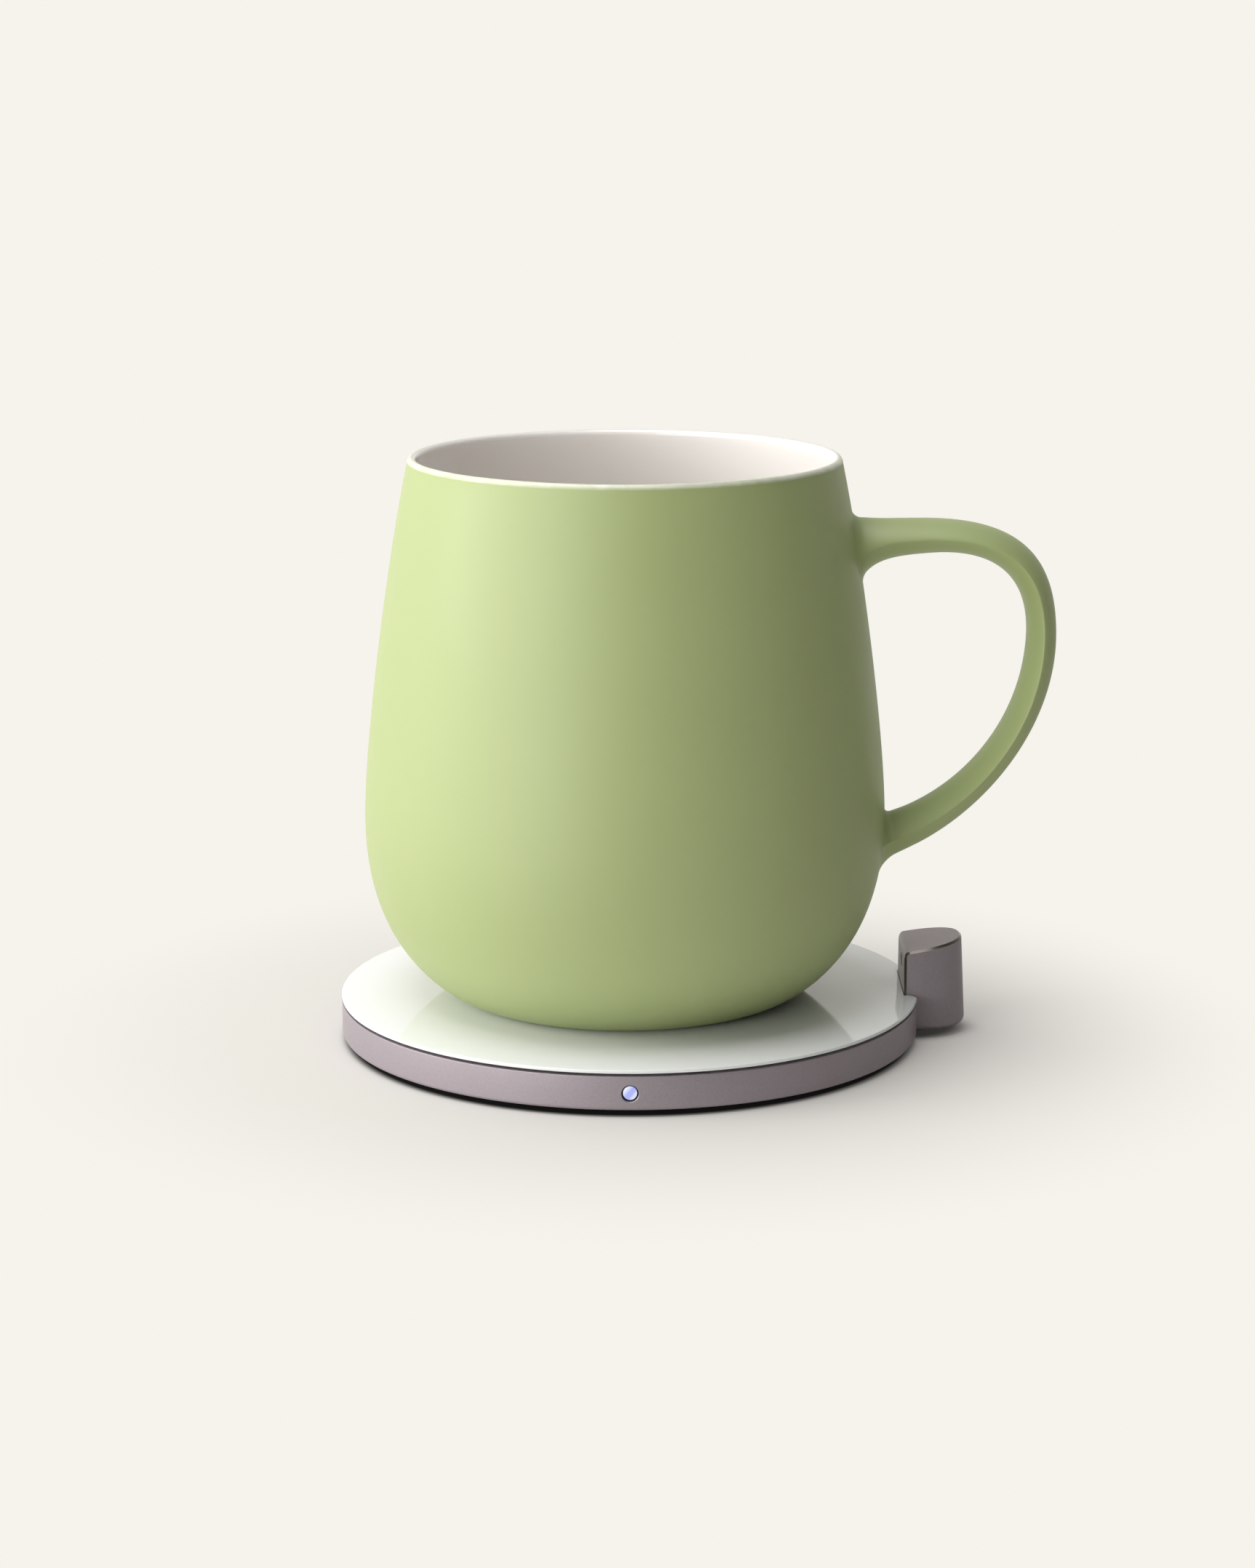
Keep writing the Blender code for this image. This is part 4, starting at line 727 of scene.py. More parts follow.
def build_mug():
    """The whole wall as one closed profile, its foot let down onto the glass, then spun."""
    profile = np.vstack([foot_profile, outer_profile, lip_profile, inner_profile])
    settled = FOOT_DROP * np.clip(1 - profile[:, 1] / FOOT_DROP_REACH, 0, None) ** 2
    profile[:, 1] += MUG_FOOT_Z - settled
    wall = ring_object("mug_wall", turned(profile, centre=MUG_AXIS))
    points = points_of(wall)
    radius = np.hypot(points[:, 0] + MUG_OFF_CENTRE, points[:, 1])
    height = points[:, 2] - MUG_FOOT_Z
    outside = (radius > outer_radius(height) - LIP_WIDTH / 4) | (height > RIM_HEIGHT)
    above = np.clip((height - RIM_HEIGHT - GLAZE_LINE) / GLAZE_BLEND + 0.5, 0, 1)
    across = np.clip(((RIM_RADIUS - radius) / LIP_WIDTH - LIP_CREST) / LIP_BLEND + 0.5, 0, 1)
    lip = np.where(height > RIM_HEIGHT, np.maximum(THIN_GLAZE * above, across), 0.0)
    store(wall, "inside", np.where(outside, lip, 1.0))
    under = (height < FOOT_BARE) & (radius < FOOT_RADIUS + FOOT_BARE)
    recess = (radius < RECESS_RADIUS + MERGE) & (height < RECESS_ROOF + MERGE)
    store(wall, "bare", under | recess)
    return wall


ride_on(build_mug(), "mug", "ceramic", "mug_body")


# %% [markdown]
# ### The handle
# A cast handle flows into the wall, and a plain tube pushed through the wall would show a hard line
# there. So the handle is a sheaf of rails round an oval section, each followed from the wall out
# and back. Near the wall, at a distance D less than the fillet's radius r, a rail is moved sideways
# along the wall by r - sqrt(r^2 - (r - D)^2), which is a quarter circle that leaves the wall exactly
# level with it.

# %% Handle rails
HANDLE_REACH = 28.88 * MM
HANDLE_WIDTH = 11.8 * MM
RIDGE_POWER_UPPER = 1.3
RIDGE_POWER_LOWER = 1.85
# Control points of four cubic stretches, from the upper root to the lower one, as shares of the
# reach past the belly and of the rim's height above the foot
OUTER_RAIL_SHARES = (
    (-0.260, 0.8968), (0.038, 0.8918), (-0.059, 0.8938), (0.208, 0.8938),
    (0.792, 0.8939), (0.986, 0.8201), (0.999, 0.6823),
    (1.016, 0.5112), (0.635, 0.3556), (0.222, 0.2830),
    (0.131, 0.2671), (-0.112, 0.2322), (-0.180, 0.2140),
)
INNER_RAIL_SHARES = (
    (-0.200, 0.7350), (-0.175, 0.8174), (0.000, 0.8240), (0.242, 0.8302),
    (0.588, 0.8392), (0.835, 0.7968), (0.823, 0.6736),
    (0.809, 0.5348), (0.547, 0.4116), (0.159, 0.3533),
    (0.057, 0.3380), (-0.039, 0.3340), (-0.180, 0.3080),
)
FILLET_UPPER = {"outer": 1.3 * MM, "inner": 0.8 * MM, "side": 2.0 * MM}
FILLET_LOWER = {"outer": 2.4 * MM, "inner": 1.2 * MM, "side": 2.2 * MM}
WALL_SINK = 0.006 * MM
ROOT_DEPTH = 0.9 * MM
RAIL_STEPS = 60
ROOT_STEPS = 14
HANDLE_SIDES = 64
HANDLE_ROWS = 150
HANDLE_SMOOTH = math.radians(60)


def rail(shares):
    """One outline of the handle as (x, z) points of four joined cubic stretches."""
    controls = np.array(shares) * (HANDLE_REACH, RIM_HEIGHT) + (MUG_BELLY_RADIUS, 0)
    stretches = [bezier(controls[first:first + 4], RAIL_STEPS + 1) for first in (0, 3, 6, 9)]
    return np.vstack([stretches[0]] + [stretch[1:] for stretch in stretches[1:]])


def wall_beside(points):
    """The points' distance from the mug's axis, and how its wall leans out at their heights."""
    slope = np.gradient(outer_profile[:, 0], outer_profile[:, 1])
    lean = np.interp(points[..., 2], outer_profile[:, 1], slope)
    return np.hypot(points[..., 0], points[..., 1]), lean


def wall_distance(points):
    """Distance out from the mug's wall, measured level and shortened by the wall's slope."""
    radius, lean = wall_beside(points)
    return (radius - outer_radius(points[..., 2])) / np.sqrt(1 + lean ** 2)


def along_wall(points, directions):
    """The part of each direction that lies in the wall's surface, as a unit vector."""
    radius, lean = wall_beside(points)
    normal = np.stack([points[..., 0] / radius, points[..., 1] / radius, -lean], -1)
    normal /= np.linalg.norm(normal, axis=-1, keepdims=True)
    level = directions - (directions * normal).sum(-1, keepdims=True) * normal
    return level / np.linalg.norm(level, axis=-1, keepdims=True)


def sample(rails, places):
    """Points of each rail at fractional places: rails (n, sides, 3), places (rows, sides)."""
    low = np.clip(np.floor(places).astype(int), 0, len(rails) - 2)
    share = (places - low)[..., None]
    side = np.arange(rails.shape[1])[None, :]
    return rails[low, side] * (1 - share) + rails[low + 1, side] * share


def root_rows(rails, centres, radii):
    """Rows from just inside the wall out to where the fillet ends, and the places of the last."""
    half = len(rails) // 4
    away = np.maximum.accumulate(wall_distance(rails[:half]), axis=0)
    turn = np.linspace(0, math.pi / 2, ROOT_STEPS)
    distance = np.vstack([np.full_like(radii, -ROOT_DEPTH)[None, :],
                          radii * (1 - np.cos(turn))[:, None] - WALL_SINK])
    push = np.vstack([radii[None, :], radii * (1 - np.sin(turn))[:, None]])
    places = np.stack([np.interp(distance[:, side], away[:, side], np.arange(half))
                       for side in range(rails.shape[1])], 1)
    base = sample(rails, places)
    middle = sample(centres, places)
    rows = base + along_wall(base, base - middle) * push[..., None]
    short = (wall_distance(rows[1]) + WALL_SINK)[:, None]
    outward = rows[1] * (1, 1, 0)
    rows[1] -= outward / np.linalg.norm(outward, axis=-1, keepdims=True) * short
    return rows, places[-1]


def build_handle():
    """Root rows at both ends and rows between them, in even steps along each rail."""
    outer = rail(OUTER_RAIL_SHARES)
    inner = rail(INNER_RAIL_SHARES)
    angle = np.arange(HANDLE_SIDES) * TURN / HANDLE_SIDES
    middle = (outer + inner) / 2
    power = np.linspace(RIDGE_POWER_UPPER, RIDGE_POWER_LOWER, len(outer))[:, None]
    across = np.sign(np.cos(angle)) * np.abs(np.cos(angle)) ** power
    half = (outer - inner) / 2
    rails = np.empty((len(outer), HANDLE_SIDES, 3))
    rails[..., 0] = middle[:, :1] + half[:, :1] * across
    rails[..., 1] = HANDLE_WIDTH / 2 * np.sin(angle)
    rails[..., 2] = middle[:, 1:] + half[:, 1:] * across
    centres = np.repeat(rails.mean(1, keepdims=True), HANDLE_SIDES, 1)
    top = np.maximum(np.cos(angle), 0) ** 2
    bottom = np.maximum(-np.cos(angle), 0) ** 2
    edge = np.sin(angle) ** 2
    ends = []
    for rows, fillet in ((slice(None), FILLET_UPPER), (slice(None, None, -1), FILLET_LOWER)):
        radii = fillet["outer"] * top + fillet["inner"] * bottom + fillet["side"] * edge
        ends.append(root_rows(rails[rows], centres[rows], radii))
    (upper, first), (lower, last) = ends
    last = len(rails) - 1 - last
    share = np.linspace(0, 1, HANDLE_ROWS)[1:-1, None]
    free = sample(rails, first * (1 - share) + last * share)
    grid = np.vstack([upper, free, lower[::-1]])
    grid[..., 0] -= MUG_OFF_CENTRE
    grid[..., 2] += MUG_FOOT_Z
    return ring_object("mug_handle", grid, capped=True, smooth=HANDLE_SMOOTH)


mug_handle = build_handle()
ride_on(mug_handle, "mug", "ceramic", "mug_body")
for name in ("inside", "bare"):
    store(mug_handle, name, np.zeros(len(mug_handle.data.vertices)))


# %% [markdown]
# ### The underside of the mug
# A moulded cover closes the recess in the foot, with a dark seal round it. They are flat turned
# parts with softened edges, and they show when the mug is lifted.

# %% Cover and seal under the mug
EDGE_SOFTNESS = 0.12 * MM
SEAL_GAP = 0.3 * MM


def flat_ring(name, node, inner, centre=(0, 0), sides=192, softness=EDGE_SOFTNESS):
    """Turned ring or disc with softened edges, its heights and outer radius read from a node."""
    low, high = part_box(node)
    outer = (high[1] - low[1]) / 2
    corners = [(inner, low[2]), (outer, low[2]), (outer, high[2]), (inner, high[2])]
    profile = softened(corners, softness, closed=bool(inner))
    if inner:
        profile = np.vstack([profile, profile[:1]])
    return ring_object(name, turned(profile, sides, centre))


cover_low, cover_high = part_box("base_cover")
seal_inside = (cover_high[1] - cover_low[1]) / 2 + SEAL_GAP
ride_on(flat_ring("mug_base_disc", "base_cover", 0, MUG_AXIS), "mug", "mug_cover", "base_cover")
ride_on(flat_ring("mug_base_ring", "base_seal", seal_inside, MUG_AXIS), "mug", "rubber", "base_seal")


# %% [markdown]
# ## The pad
# The band is a ring of metal with a gap in it where the post stands, and its two ends turn in round
# the post with rounded corners. A plain turned ring could not do that, so an outline is worked out
# for every inset, and each point of the wall's profile follows the outline at its own inset.

# %% Sizes of the pad and its post
band_low, band_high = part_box("pad_housing")
glass_low, glass_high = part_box("glass_plate")
PAD_RADIUS = band_high[1]
BAND_BOTTOM = band_low[2]
BAND_TOP = BAND_BOTTOM + 5.75 * MM
BAND_WALL = 1.6 * MM
FLANGE_WIDTH = 4.6 * MM
FLANGE_DROP = 0.7 * MM
FLANGE_THICKNESS = 0.6 * MM
POST_FLAT_X = 47.43 * MM
POST_SIDE_SHIFT = 2.86 * MM
POST_HALF_WIDTH = 7.45 * MM
POST_DEPTH = 10.33 * MM
POST_POWER = 2.5
POST_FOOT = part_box("post_shell")[0][2]
POST_FLAT_TOP = 15.2 * MM
POST_SLOPE = math.radians(9.5)
POST_DRAFT = math.radians(3.2)
print("pad radius", PAD_RADIUS / MM, "mm, band", BAND_BOTTOM / MM, "to", BAND_TOP / MM, "mm")


def post_spread(height):
    """How far the post's drafted sides have moved out at a height."""
    return (POST_FLAT_TOP - height) * math.tan(POST_DRAFT)


# %% Outline of the pad, seen from above
FRONT_CORNER = 1.8 * MM
REAR_CORNER = 0.95 * MM
SIDE_GAP = 0.28 * MM
FLAT_GAP = 0.06 * MM
CORNER_POINTS = 10
CIRCLE_POINTS = 460


def pad_outline(radius, inset, height, end_x):
    """Outlines at arrays of insets and heights, from the post's rear side round to its front side.

    Each is a circle that two level lines cut, with a rounded corner where they meet. A corner of
    radius q that touches the line y = s from outside and the circle of radius R from inside is
    centred at the height s + q, or s - q on the front side, and R - q away from the middle.
    """
    inset, height, end_x = np.broadcast_arrays(inset, height, end_x)
    reach = radius - inset
    half = POST_HALF_WIDTH + post_spread(height) + SIDE_GAP + inset
    stretches = []
    turns = []
    for side, round_off in ((1, REAR_CORNER), (-1, FRONT_CORNER)):
        corner = np.clip(round_off - inset, 0, None)
        line = POST_SIDE_SHIFT + side * half
        centre_y = line + side * corner
        centre_x = np.sqrt((reach - corner) ** 2 - centre_y ** 2)
        meet = np.arctan2(centre_y, centre_x)
        turn = np.linspace(np.full_like(meet, -side * math.pi / 2), meet, CORNER_POINTS, axis=-1)
        arc = np.stack([centre_x[..., None] + corner[..., None] * np.cos(turn),
                        centre_y[..., None] + corner[..., None] * np.sin(turn)], -1)
        end = np.stack([np.minimum(end_x, centre_x), line], -1)[..., None, :]
        stretches.append(np.concatenate([end, arc], -2))
        turns.append(meet)
    turn = np.linspace(turns[0], turns[1] + TURN, CIRCLE_POINTS, axis=-1)[..., 1:-1]
    circle = np.stack([np.cos(turn), np.sin(turn)], -1) * reach[..., None, None]
    return np.concatenate([stretches[0], circle, stretches[1][..., ::-1, :]], -2)


def raised(outlines, heights):
    """Outlines given their heights, one each, as rows of points."""
    level = np.broadcast_to(heights[:, None, None], (*outlines.shape[:2], 1))
    return np.concatenate([outlines, level], -1)


# %% Band
BAND_END = 0.3 * MM
BAND_EDGES = np.array([0.62, 0.17, 0.12, 0, 0.1, 0.1, 0, 0.12]) * MM


def build_band():
    """Each point of the profile follows its own outline, and both ends are closed."""
    flange = BAND_TOP - FLANGE_DROP
    deep = BAND_WALL + FLANGE_WIDTH
    corners = [(0, BAND_BOTTOM), (0, BAND_TOP), (BAND_WALL, BAND_TOP), (BAND_WALL, flange),
               (deep, flange), (deep, flange - FLANGE_THICKNESS),
               (BAND_WALL, flange - FLANGE_THICKNESS), (BAND_WALL, BAND_BOTTOM)]
    profile = softened(corners, BAND_EDGES, steps=7)
    outline = pad_outline(PAD_RADIUS, profile[:, 0], profile[:, 1], POST_FLAT_X - BAND_END)
    return ring_object("pad_band", raised(outline, profile[:, 1]).transpose(1, 0, 2), capped=True)


pad_band = build_band()

# %% Lamp hole and power opening, cut through the band
lens_low, lens_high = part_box("led_lens")
LAMP_HEIGHT = (lens_low[2] + lens_high[2]) / 2
LAMP_HOLE = 1.4 * MM
LAMP_CHAMFER = 0.12 * MM
LAMP_HOLE_END = -PAD_RADIUS + 3 * BAND_WALL
LAMP_AXIS = ([0, 2, 1], (0, 0, LAMP_HEIGHT))
inlet_low, inlet_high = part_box("usb_shell")
INLET_LEVEL = (inlet_low[2] + inlet_high[2]) / 2
INLET_WIDTH = inlet_high[0] - inlet_low[0]
INLET_HEIGHT = inlet_high[2] - inlet_low[2]
INLET_ROOM = 0.28 * MM
INLET_SIDES = 64


def slot_rows(rows):
    """Upright slot outlines, two half circles joined by straight lines, at (inset, y) rows."""
    inset, y = np.array(rows).T[..., None]
    angle = (np.arange(INLET_SIDES) + 0.5) * TURN / INLET_SIDES
    radius = INLET_HEIGHT / 2 - inset
    x = radius * np.cos(angle) + np.sign(np.cos(angle)) * (INLET_WIDTH - INLET_HEIGHT) / 2
    return np.stack([x, np.broadcast_to(y, x.shape), radius * np.sin(angle) + INLET_LEVEL], -1)


drill(pad_band, LAMP_HOLE, LAMP_CHAMFER, -PAD_RADIUS, LAMP_HOLE_END, *LAMP_AXIS)
opening = slot_rows([(-INLET_ROOM, inlet_low[1] - INLET_ROOM), (-INLET_ROOM, PAD_RADIUS + MM)])
carve(pad_band, ring_object("power_cut", opening, capped=True))
ride_on(pad_band, "pad", "aluminium", "pad_housing")


# %% [markdown]
# ### Glass, foot disc and bottom cover
# The glass and the bottom cover share one outline function: a circle with a notch for the post.
# A plate is that outline drawn several times, each a little further in and higher, so that its
# edge is rounded, and closed above and below by flat faces. The foot disc is a plain turned disc.

# %% Plates with a notch
def notched_plate(name, radius, low, high, edge):
    """Rows of the outline that follow the plate's edge: (inset, height) pairs from bottom to top."""
    profile = softened([(MM, low), (0, low), (0, high), (MM, high)], [0, *edge, 0],
                       steps=6, closed=False)[1:-1]
    outline = pad_outline(radius, profile[:, 0], low, POST_FLAT_X - FLAT_GAP - profile[:, 0])
    return ring_object(name, raised(outline, profile[:, 1]), capped=True)


GLASS_LIFT = 0.15 * MM
GLASS_EDGE = (0.08 * MM, 0.2 * MM)
glass_top = notched_plate("glass_top", PAD_RADIUS, glass_low[2] + GLASS_LIFT, glass_high[2],
                          GLASS_EDGE)
ride_on(glass_top, "pad", "glass", "glass_plate")

PLATE_THICKNESS = 1.1 * MM
PLATE_EDGE = (0.2 * MM, 0.1 * MM)
plate_low, plate_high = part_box("bottom_cover")
bottom_plate = notched_plate("bottom_plate", plate_high[1], plate_low[2],
                             plate_low[2] + PLATE_THICKNESS, PLATE_EDGE)
ride_on(bottom_plate, "pad", "dark_plastic", "bottom_cover")

FOOT_SOFTNESS = 0.22 * MM
foot_disc = flat_ring("foot_disc", "base_pad", 0, sides=256, softness=FOOT_SOFTNESS)
ride_on(foot_disc, "pad", "rubber", "base_pad")


# %% [markdown]
# ### The lamp's lens
# The lens is a turned rod that lies level behind the hole, with a slightly domed face.

# %% Lens
LENS_WIDER = 0.05 * MM
LENS_RADIUS = (lens_high[0] - lens_low[0]) / 2 + LENS_WIDER
DOME = 0.24 * MM
DOME_POINTS = 9
dome_angle = np.linspace(0, math.pi / 2, DOME_POINTS)
lens_profile = np.vstack([
    [(0, lens_high[1]), (LENS_RADIUS, lens_high[1])],
    np.column_stack([LENS_RADIUS * np.cos(dome_angle),
                     lens_low[1] + DOME * (1 - np.sin(dome_angle))]),
])
lamp_lens = ring_object("lamp_lens", turned_level(lens_profile, *LAMP_AXIS))
FINISH["lens"] = lamp_finish(LAMP_HEIGHT, LENS_RADIUS, lens_low[1] + DOME)
ride_on(lamp_lens, "pad", "lens", "led_lens")


# %% [markdown]
# ### The power inlet
# Behind, the band has a slot with a drawn steel sleeve in it. The sleeve is one rounded slot shape
# carried in and back out again, so it has a real hollow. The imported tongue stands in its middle.

# %% Sleeve
SLEEVE_WALL = 0.3 * MM
SLEEVE_LIP = 0.08 * MM
SLEEVE_FLOOR = 0.8 * MM
sleeve_rows = [
    (0, inlet_low[1]), (0, inlet_high[1] - SLEEVE_LIP), (SLEEVE_LIP, inlet_high[1]),
    (SLEEVE_WALL - SLEEVE_LIP, inlet_high[1]), (SLEEVE_WALL, inlet_high[1] - SLEEVE_LIP),
    (SLEEVE_WALL, inlet_low[1] + SLEEVE_FLOOR)]
power_sleeve = ring_object("power_sleeve", slot_rows(sleeve_rows), capped=True)
ride_on(power_sleeve, "pad", "steel", "usb_shell")


# %% [markdown]
# ## The sensor post
# The post is flat towards the mug and rounded behind, its sides lean in slightly, and its top rises
# away from the mug. Its plan is a flat side closed by half a superellipse: x / depth to the power
# n, plus y / half width to the power n, equals 1. The top height is a function h(x), a slope whose
# edge over the flat is rounded, so the whole top follows from the plan.

# %% Plan and top of the post
TOP_FILLET = 1.1 * MM
EDGE_CHAMFER = 0.38 * MM
FOOT_FILLET = 1.2 * MM
POST_WALL = 1.2 * MM
CROSS_ROWS = 9
NEAR_TURN = 0.45 * math.pi
NEAR_POINTS = 12
FAR_POINTS = 36


def top_height(x):
    """Height of the sloped top, with a quarter round of radius TOP_FILLET over the flat."""
    run = TOP_FILLET * math.tan((math.pi / 2 - POST_SLOPE) / 2)
    slope = POST_FLAT_TOP + x * math.tan(POST_SLOPE)
    inside = np.clip(TOP_FILLET ** 2 - (np.minimum(x, TOP_FILLET) - TOP_FILLET) ** 2, 0, None)
    rounded = POST_FLAT_TOP - run + np.sqrt(inside)
    return np.where(x < run * math.cos(POST_SLOPE), rounded, slope)


def plan(spread, least_x=0.0):
    """Side outline from (0, -y) round to (0, y), then the points across the flat side."""
    depth = POST_DEPTH + spread
    width = POST_HALF_WIDTH + spread
    near = TOP_FILLET * (1 - np.cos(np.linspace(0, NEAR_TURN, NEAR_POINTS)))
    ratio = near[-1] / depth
    start = math.acos(ratio ** (POST_POWER / 2))
    far = depth * np.cos(np.linspace(start, 0, FAR_POINTS)[1:]) ** (2 / POST_POWER)
    x = np.concatenate([near, far])
    y = width * np.clip(1 - (x / depth) ** POST_POWER, 0, None) ** (1 / POST_POWER)
    y = np.minimum(y, width - EDGE_CHAMFER + x)
    x = np.concatenate([x, x[-2::-1]])
    y = np.concatenate([-y, y[-2::-1]])
    across = y[-1] * (1 - np.arange(1, 2 * CROSS_ROWS) / CROSS_ROWS)
    x = np.concatenate([x, np.zeros(len(across))])
    y = np.concatenate([y, across])
    return np.maximum(x, least_x), y, len(y) - len(across)


def zipper(x, y, z, count):
    """Rows that draw the two sides of an outline together on the line y = 0."""
    share = 1 - np.arange(CROSS_ROWS + 1)[:, None] / CROSS_ROWS
    return np.stack([np.broadcast_to(x[:count], (CROSS_ROWS + 1, count)), share * y[:count],
                     np.broadcast_to(z[:count], (CROSS_ROWS + 1, count))], -1)


# %% Body of the post
FOOT_ROWS = 8
CAP_GAP = 0.2 * MM
POST_SMOOTH = math.radians(28)


def build_post():
    """Foot rounding, sides, top chamfer and top, with a shallow hollow underneath."""
    hollow_x, hollow_y, count = plan(post_spread(POST_FOOT) - POST_WALL, POST_WALL)
    roof = np.full(len(hollow_x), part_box("post_cap")[1][2] + CAP_GAP)
    rows = [(hollow_x, hollow_y, roof), (hollow_x, hollow_y, POST_FOOT)]
    for turn in np.linspace(math.pi / 2, 0, FOOT_ROWS):
        height = POST_FOOT + FOOT_FILLET * (1 - math.sin(turn))
        x, y, _ = plan(post_spread(height) - FOOT_FILLET * (1 - math.cos(turn)))
        rows.append((x, y, height))
    x, y, _ = plan(post_spread(POST_FLAT_TOP - EDGE_CHAMFER))
    rows.append((x, y, top_height(x) - EDGE_CHAMFER))
    x, y, _ = plan(post_spread(POST_FLAT_TOP) - EDGE_CHAMFER)
    rows.append((x, y, top_height(x)))
    body = np.stack([np.column_stack(np.broadcast_arrays(*row)) for row in rows])
    top = zipper(x, y, top_height(x), count)
    under = zipper(hollow_x, hollow_y, roof, count)
    grids = [(grid + (POST_FLAT_X, POST_SIDE_SHIFT, 0), wrap, ())
             for grid, wrap in ((body, True), (top, False), (under, False))]
    return make_object("post_body", grids, POST_SMOOTH)


# %% Cut edges and the window's hole
window_low, window_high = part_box("sensor_window")
WINDOW_CENTRE = ((window_low[1] + window_high[1]) / 2, (window_low[2] + window_high[2]) / 2)
WINDOW_AXIS = ([2, 0, 1], (0, *WINDOW_CENTRE))
WINDOW_HOLE = 1.25 * MM
WINDOW_CHAMFER = 0.1 * MM
WINDOW_MARGIN = 1.0 * MM
LEANING = 0.3
UPRIGHT = 0.9
LEAST_UP = -0.1
CUT_FROM = 3.0 * MM


def polish_cut_edges(post):
    """Mark the faces that lean both up or back and outwards as 'cut', except in the window.

    A face leans one way when that part of its normal lies between LEANING and UPRIGHT.
    """
    count = len(post.data.polygons) * 3
    normals = np.empty(count)
    centres = np.empty(count)
    post.data.polygons.foreach_get("normal", normals)
    post.data.polygons.foreach_get("center", centres)
    back, side, up = normals.reshape(-1, 3).T
    _, aside, height = centres.reshape(-1, 3).T
    sideways = np.abs(side) > LEANING
    above = (up > LEANING) & (up < UPRIGHT) & (height > POST_FLAT_TOP - MM)
    above &= sideways | (back > LEANING)
    beside = (back < -LEANING) & (back > -UPRIGHT) & (up > LEAST_UP) & (up < LEANING) & sideways
    away = np.hypot(aside - WINDOW_CENTRE[0], height - WINDOW_CENTRE[1])
    chosen = (above | beside) & (away > WINDOW_HOLE + WINDOW_MARGIN) & (height > CUT_FROM)
    store(post, "cut", chosen, "FACE")
    print("cut edges on the post:", int(chosen.sum()), "faces")


post_body = build_post()
drill(post_body, WINDOW_HOLE, WINDOW_CHAMFER, POST_FLAT_X, POST_FLAT_X + POST_WALL, *WINDOW_AXIS)
polish_cut_edges(post_body)
ride_on(post_body, "pad", "aluminium", "post_shell")

# %% Window of the post
WINDOW_RADIUS = 1.0 * MM
WINDOW_EDGES = [0, 0.15 * MM, 0.05 * MM, 0]
window_profile = [(0, window_low[0]), (WINDOW_RADIUS, window_low[0]),
                  (WINDOW_RADIUS, window_high[0]), (0, window_high[0])]
window_face = softened(window_profile, WINDOW_EDGES, closed=False)
window_disc = ring_object("window_disc", turned_level(window_face, *WINDOW_AXIS))
ride_on(window_disc, "pad", "window", "sensor_window")


# %% [markdown]
# ## Floor, background and light
# The photograph is a studio shot. Its light comes from the left, broad and low, with some from
# above, a pale sheet stands behind, and the room at the right and in front is dim. The floor is the
# same sheet, which runs up behind the object without a line. Away from the object the floor hands
# over to the sheet's own colour, so no horizon shows, and where the pad and the post stand on it
# the paper is painted dark as shade. The walls are one formula of direction in the world, and only
# camera rays skip it.

# %% Floor and background
PAPER = (0.922, 0.896, 0.838)
FLOOR_COLOUR = (0.64, 0.617, 0.590)
FLOOR_BOUNCE = (0.80, 0.78, 0.74)
FLOOR_REACH = 6000 * MM
FADE_START = 25 * MM
FADE_END = 118 * MM
MIRRORED_LEFT = 1.2
MIRRORED_RIGHT = 0.4
LIT_REACH = 60 * MM
CONTACT_DARK = 0.03
CONTACT_FROM = 48.4 * MM
CONTACT_TO = 51.2 * MM
POST_MARGIN = 0.6 * MM
POST_ROUND = POST_HALF_WIDTH + POST_MARGIN
POST_SHADE = 4.0 * MM
POST_DARK = 0.93
NO_LIGHT = (0.0, 0.0, 0.0)
TOWARDS_LAMPS = (-math.sqrt(0.5), math.sqrt(0.5), 0)


def camera_like(tree):
    """1 for rays that come from the camera, a mirror or glass, and 0 for light's own rays."""
    path = add_node(tree, "LightPath").outputs
    first = math_node(tree, "MAXIMUM", path["Is Camera Ray"], path["Is Glossy Ray"])
    return math_node(tree, "MAXIMUM", first, path["Is Transmission Ray"])


def for_camera(tree, seen, other):
    """One number for rays that come straight from the camera, and another for all the rest."""
    return mix_values(tree, add_node(tree, "LightPath").outputs["Is Camera Ray"], other, seen)


def painted_contact_shade(tree, place, reach):
    """Painted shade: dark under the pad and the post, 1 away from them, by 1 minus the square of the way
    in.

    The post counts as a circle round the middle of its flat, narrowed along x to its depth.
    """
    aside = vector_node(tree, "SUBTRACT", place, (POST_FLAT_X, POST_SIDE_SHIFT, 0))
    narrowed = vector_node(tree, "MULTIPLY", aside, (POST_ROUND / (POST_DEPTH + POST_MARGIN), 1, 1))
    from_post = scaled(tree, vector_node(tree, "LENGTH", narrowed), POST_ROUND - POST_SHADE / 2,
                       POST_ROUND + POST_SHADE, POST_DARK, 0.0)
    from_pad = scaled(tree, reach, CONTACT_FROM, CONTACT_TO, 1.0, 0.0)
    inside = math_node(tree, "MAXIMUM", from_pad, from_post)
    square = math_node(tree, "MULTIPLY", inside, inside)
    return math_node(tree, "MULTIPLY_ADD", square, CONTACT_DARK - 1, 1.0)


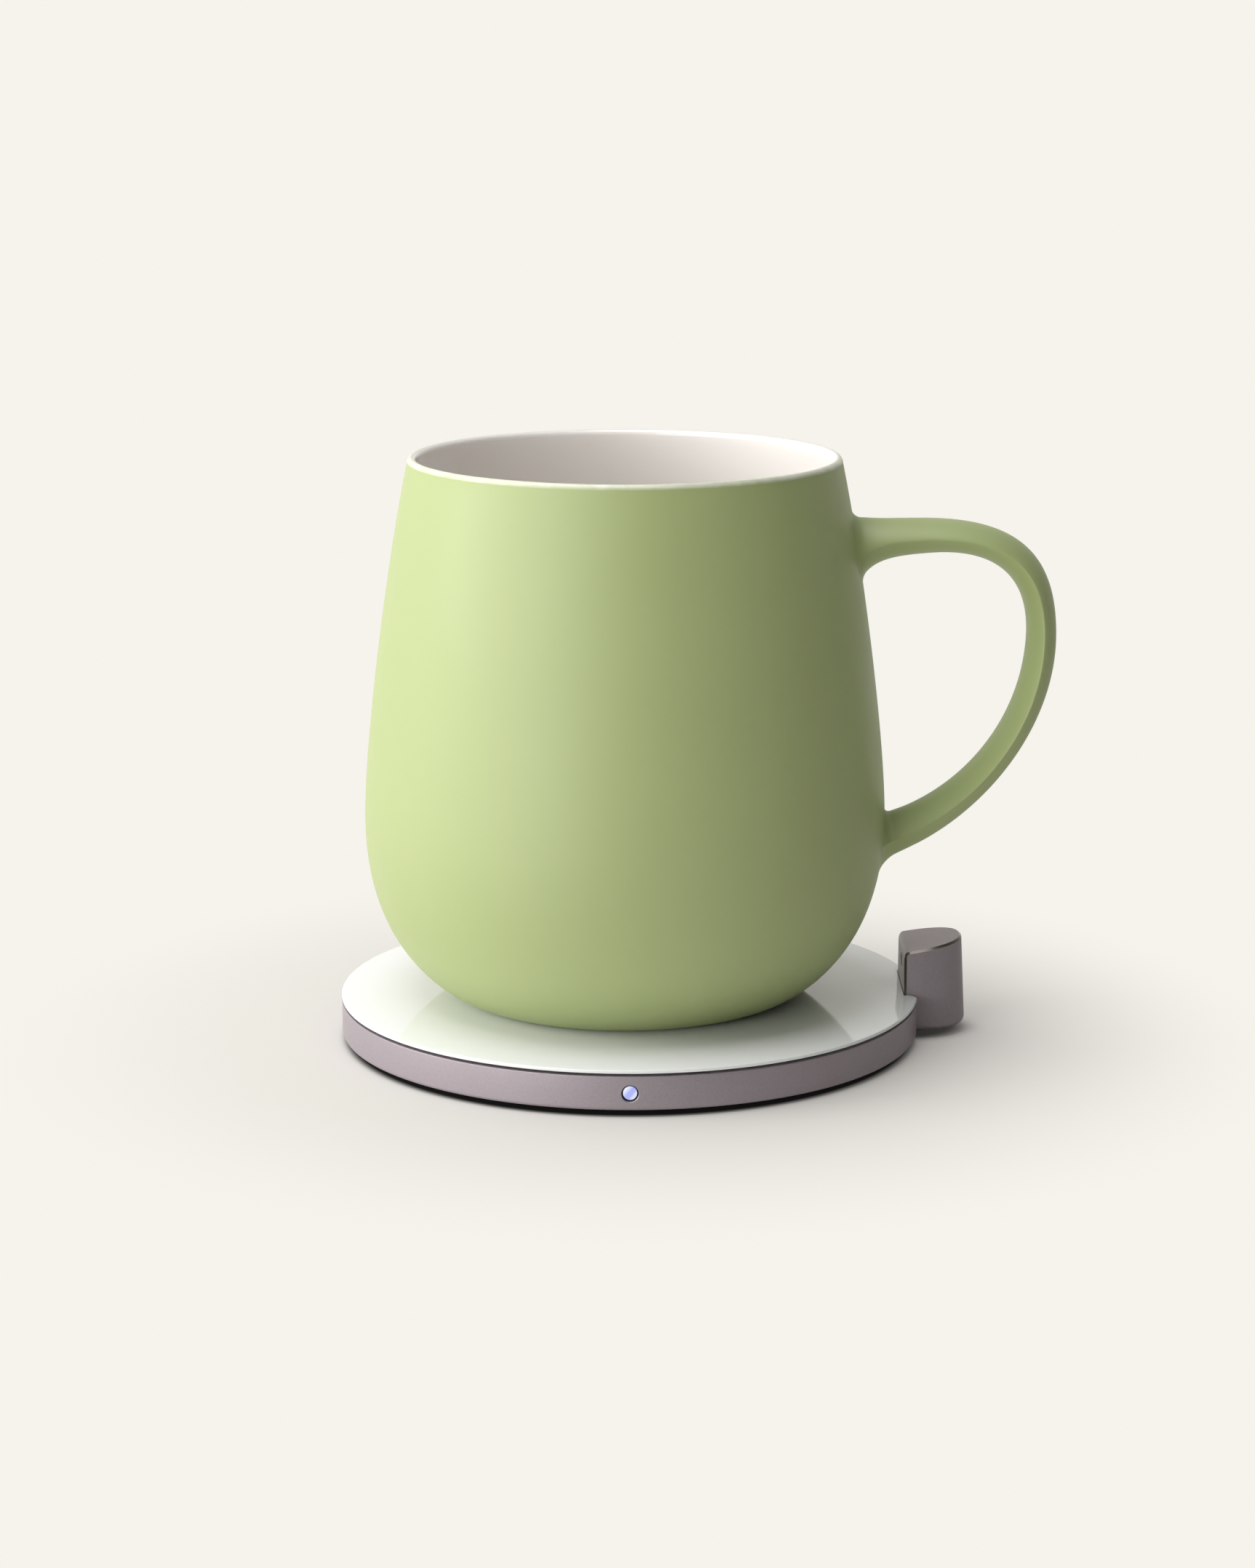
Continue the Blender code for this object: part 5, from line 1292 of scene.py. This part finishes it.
def floor_finish():
    """Diffuse paper near the object that fades to the background's own brightness further out.

    Mirrors see it brighter towards the left and the back, where the lamps and the wall stand.
    """
    made = bpy.data.materials.new("paper_floor")
    made.use_nodes = True
    tree = made.node_tree
    tree.nodes.clear()
    place = add_node(tree, "TexCoord").outputs["Object"]
    reach = vector_node(tree, "LENGTH", place)
    # painted shade: the floor's colour and its glow are darkened under the pad and the post
    shade = painted_contact_shade(tree, place, reach)
    tone = effect(tree, "drift", place, Colour=FLOOR_COLOUR, Amount=0.01, Scale=20.0)
    seen_as = mix_colours(tree, camera_like(tree), FLOOR_BOUNCE, tone["Colour"])
    paper = add_node(tree, "BsdfDiffuse", {"Color": mix_colours(tree, shade, NO_LIGHT, seen_as)})
    side = vector_node(tree, "DOT_PRODUCT", place, TOWARDS_LAMPS)
    lit = scaled(tree, side, -LIT_REACH, LIT_REACH, MIRRORED_RIGHT, MIRRORED_LEFT)
    glow = add_node(tree, "Emission", {"Color": PAPER, "Strength": for_camera(tree, 1.0, lit)})
    far = scaled(tree, reach, FADE_START, FADE_END, 0.0, 1.0)
    far = math_node(tree, "MULTIPLY", far, shade)
    seen = math_node(tree, "MULTIPLY", far, camera_like(tree))
    blend = add_node(tree, "MixShader", {0: seen, 1: paper.outputs[0], 2: glow.outputs[0]})
    add_node(tree, "OutputMaterial", {"Surface": blend.outputs[0]})
    return made


floor_corners = np.array([[(-1, -1, 0), (1, -1, 0)], [(-1, 1, 0), (1, 1, 0)]])
floor = make_object("floor", [(floor_corners * FLOOR_REACH, False, ())])
floor.data.materials.append(floor_finish())

# %% World
BACK_WALL = 0.72
BACK_WALL_MIRRORED = 0.92
LEFT_WALL = 1.9
DIM_ROOM = 0.04


def studio_brightness(tree):
    """The back wall's level times y plus the left wall's times x squared, on those two sides.

    A mirror sees the back wall as bright as the camera does.
    """
    direction = add_node(tree, "TexCoord").outputs["Generated"]
    across, along = add_node(tree, "SeparateXYZ", {0: direction}).outputs[:2]
    left = math_node(tree, "MINIMUM", across, 0.0)
    left = math_node(tree, "MULTIPLY", math_node(tree, "MULTIPLY", left, left), LEFT_WALL)
    mirrored = add_node(tree, "LightPath").outputs["Is Glossy Ray"]
    level = math_node(tree, "MULTIPLY_ADD", mirrored, BACK_WALL_MIRRORED - BACK_WALL, BACK_WALL)
    back = math_node(tree, "MULTIPLY", math_node(tree, "MAXIMUM", along, 0.0), level)
    return math_node(tree, "ADD", math_node(tree, "ADD", left, back), DIM_ROOM)


world = bpy.data.worlds.new("studio")
bpy.context.scene.world = world
world.use_nodes = True
sky = world.node_tree
sky.nodes.clear()
wall = add_node(sky, "Background", {
    "Color": mix_colours(sky, camera_like(sky), (1.0, 1.0, 1.0), PAPER),
    "Strength": for_camera(sky, 1.0, studio_brightness(sky))})
add_node(sky, "OutputWorld", {"Surface": wall.outputs[0]})


# %% Lamps
LAMP_AIM = 50 * MM


def soft_lamp(name, azimuth, elevation, distance, size, power):
    """Square area lamp, so many degrees round from the front and up, aimed at the mug's middle."""
    data = bpy.data.lights.new(name, "AREA")
    data.size = size * MM
    data.energy = power
    lamp = bpy.data.objects.new(name, data)
    turn = math.radians(azimuth)
    rise = math.radians(elevation)
    lamp.location = (distance * MM * math.cos(rise) * math.sin(turn),
                     -distance * MM * math.cos(rise) * math.cos(turn),
                     LAMP_AIM + distance * MM * math.sin(rise))
    lamp.rotation_euler = (math.pi / 2 - rise, 0, turn)
    bpy.context.collection.objects.link(lamp)


soft_lamp("key_lamp", azimuth=-82, elevation=14, distance=900, size=450, power=3.3)
soft_lamp("low_lamp", azimuth=-36, elevation=0, distance=900, size=600, power=5.5)
soft_lamp("top_lamp", azimuth=-60, elevation=78, distance=900, size=600, power=5.3)

# %% View settings
bpy.context.scene.view_settings.view_transform = "Standard"
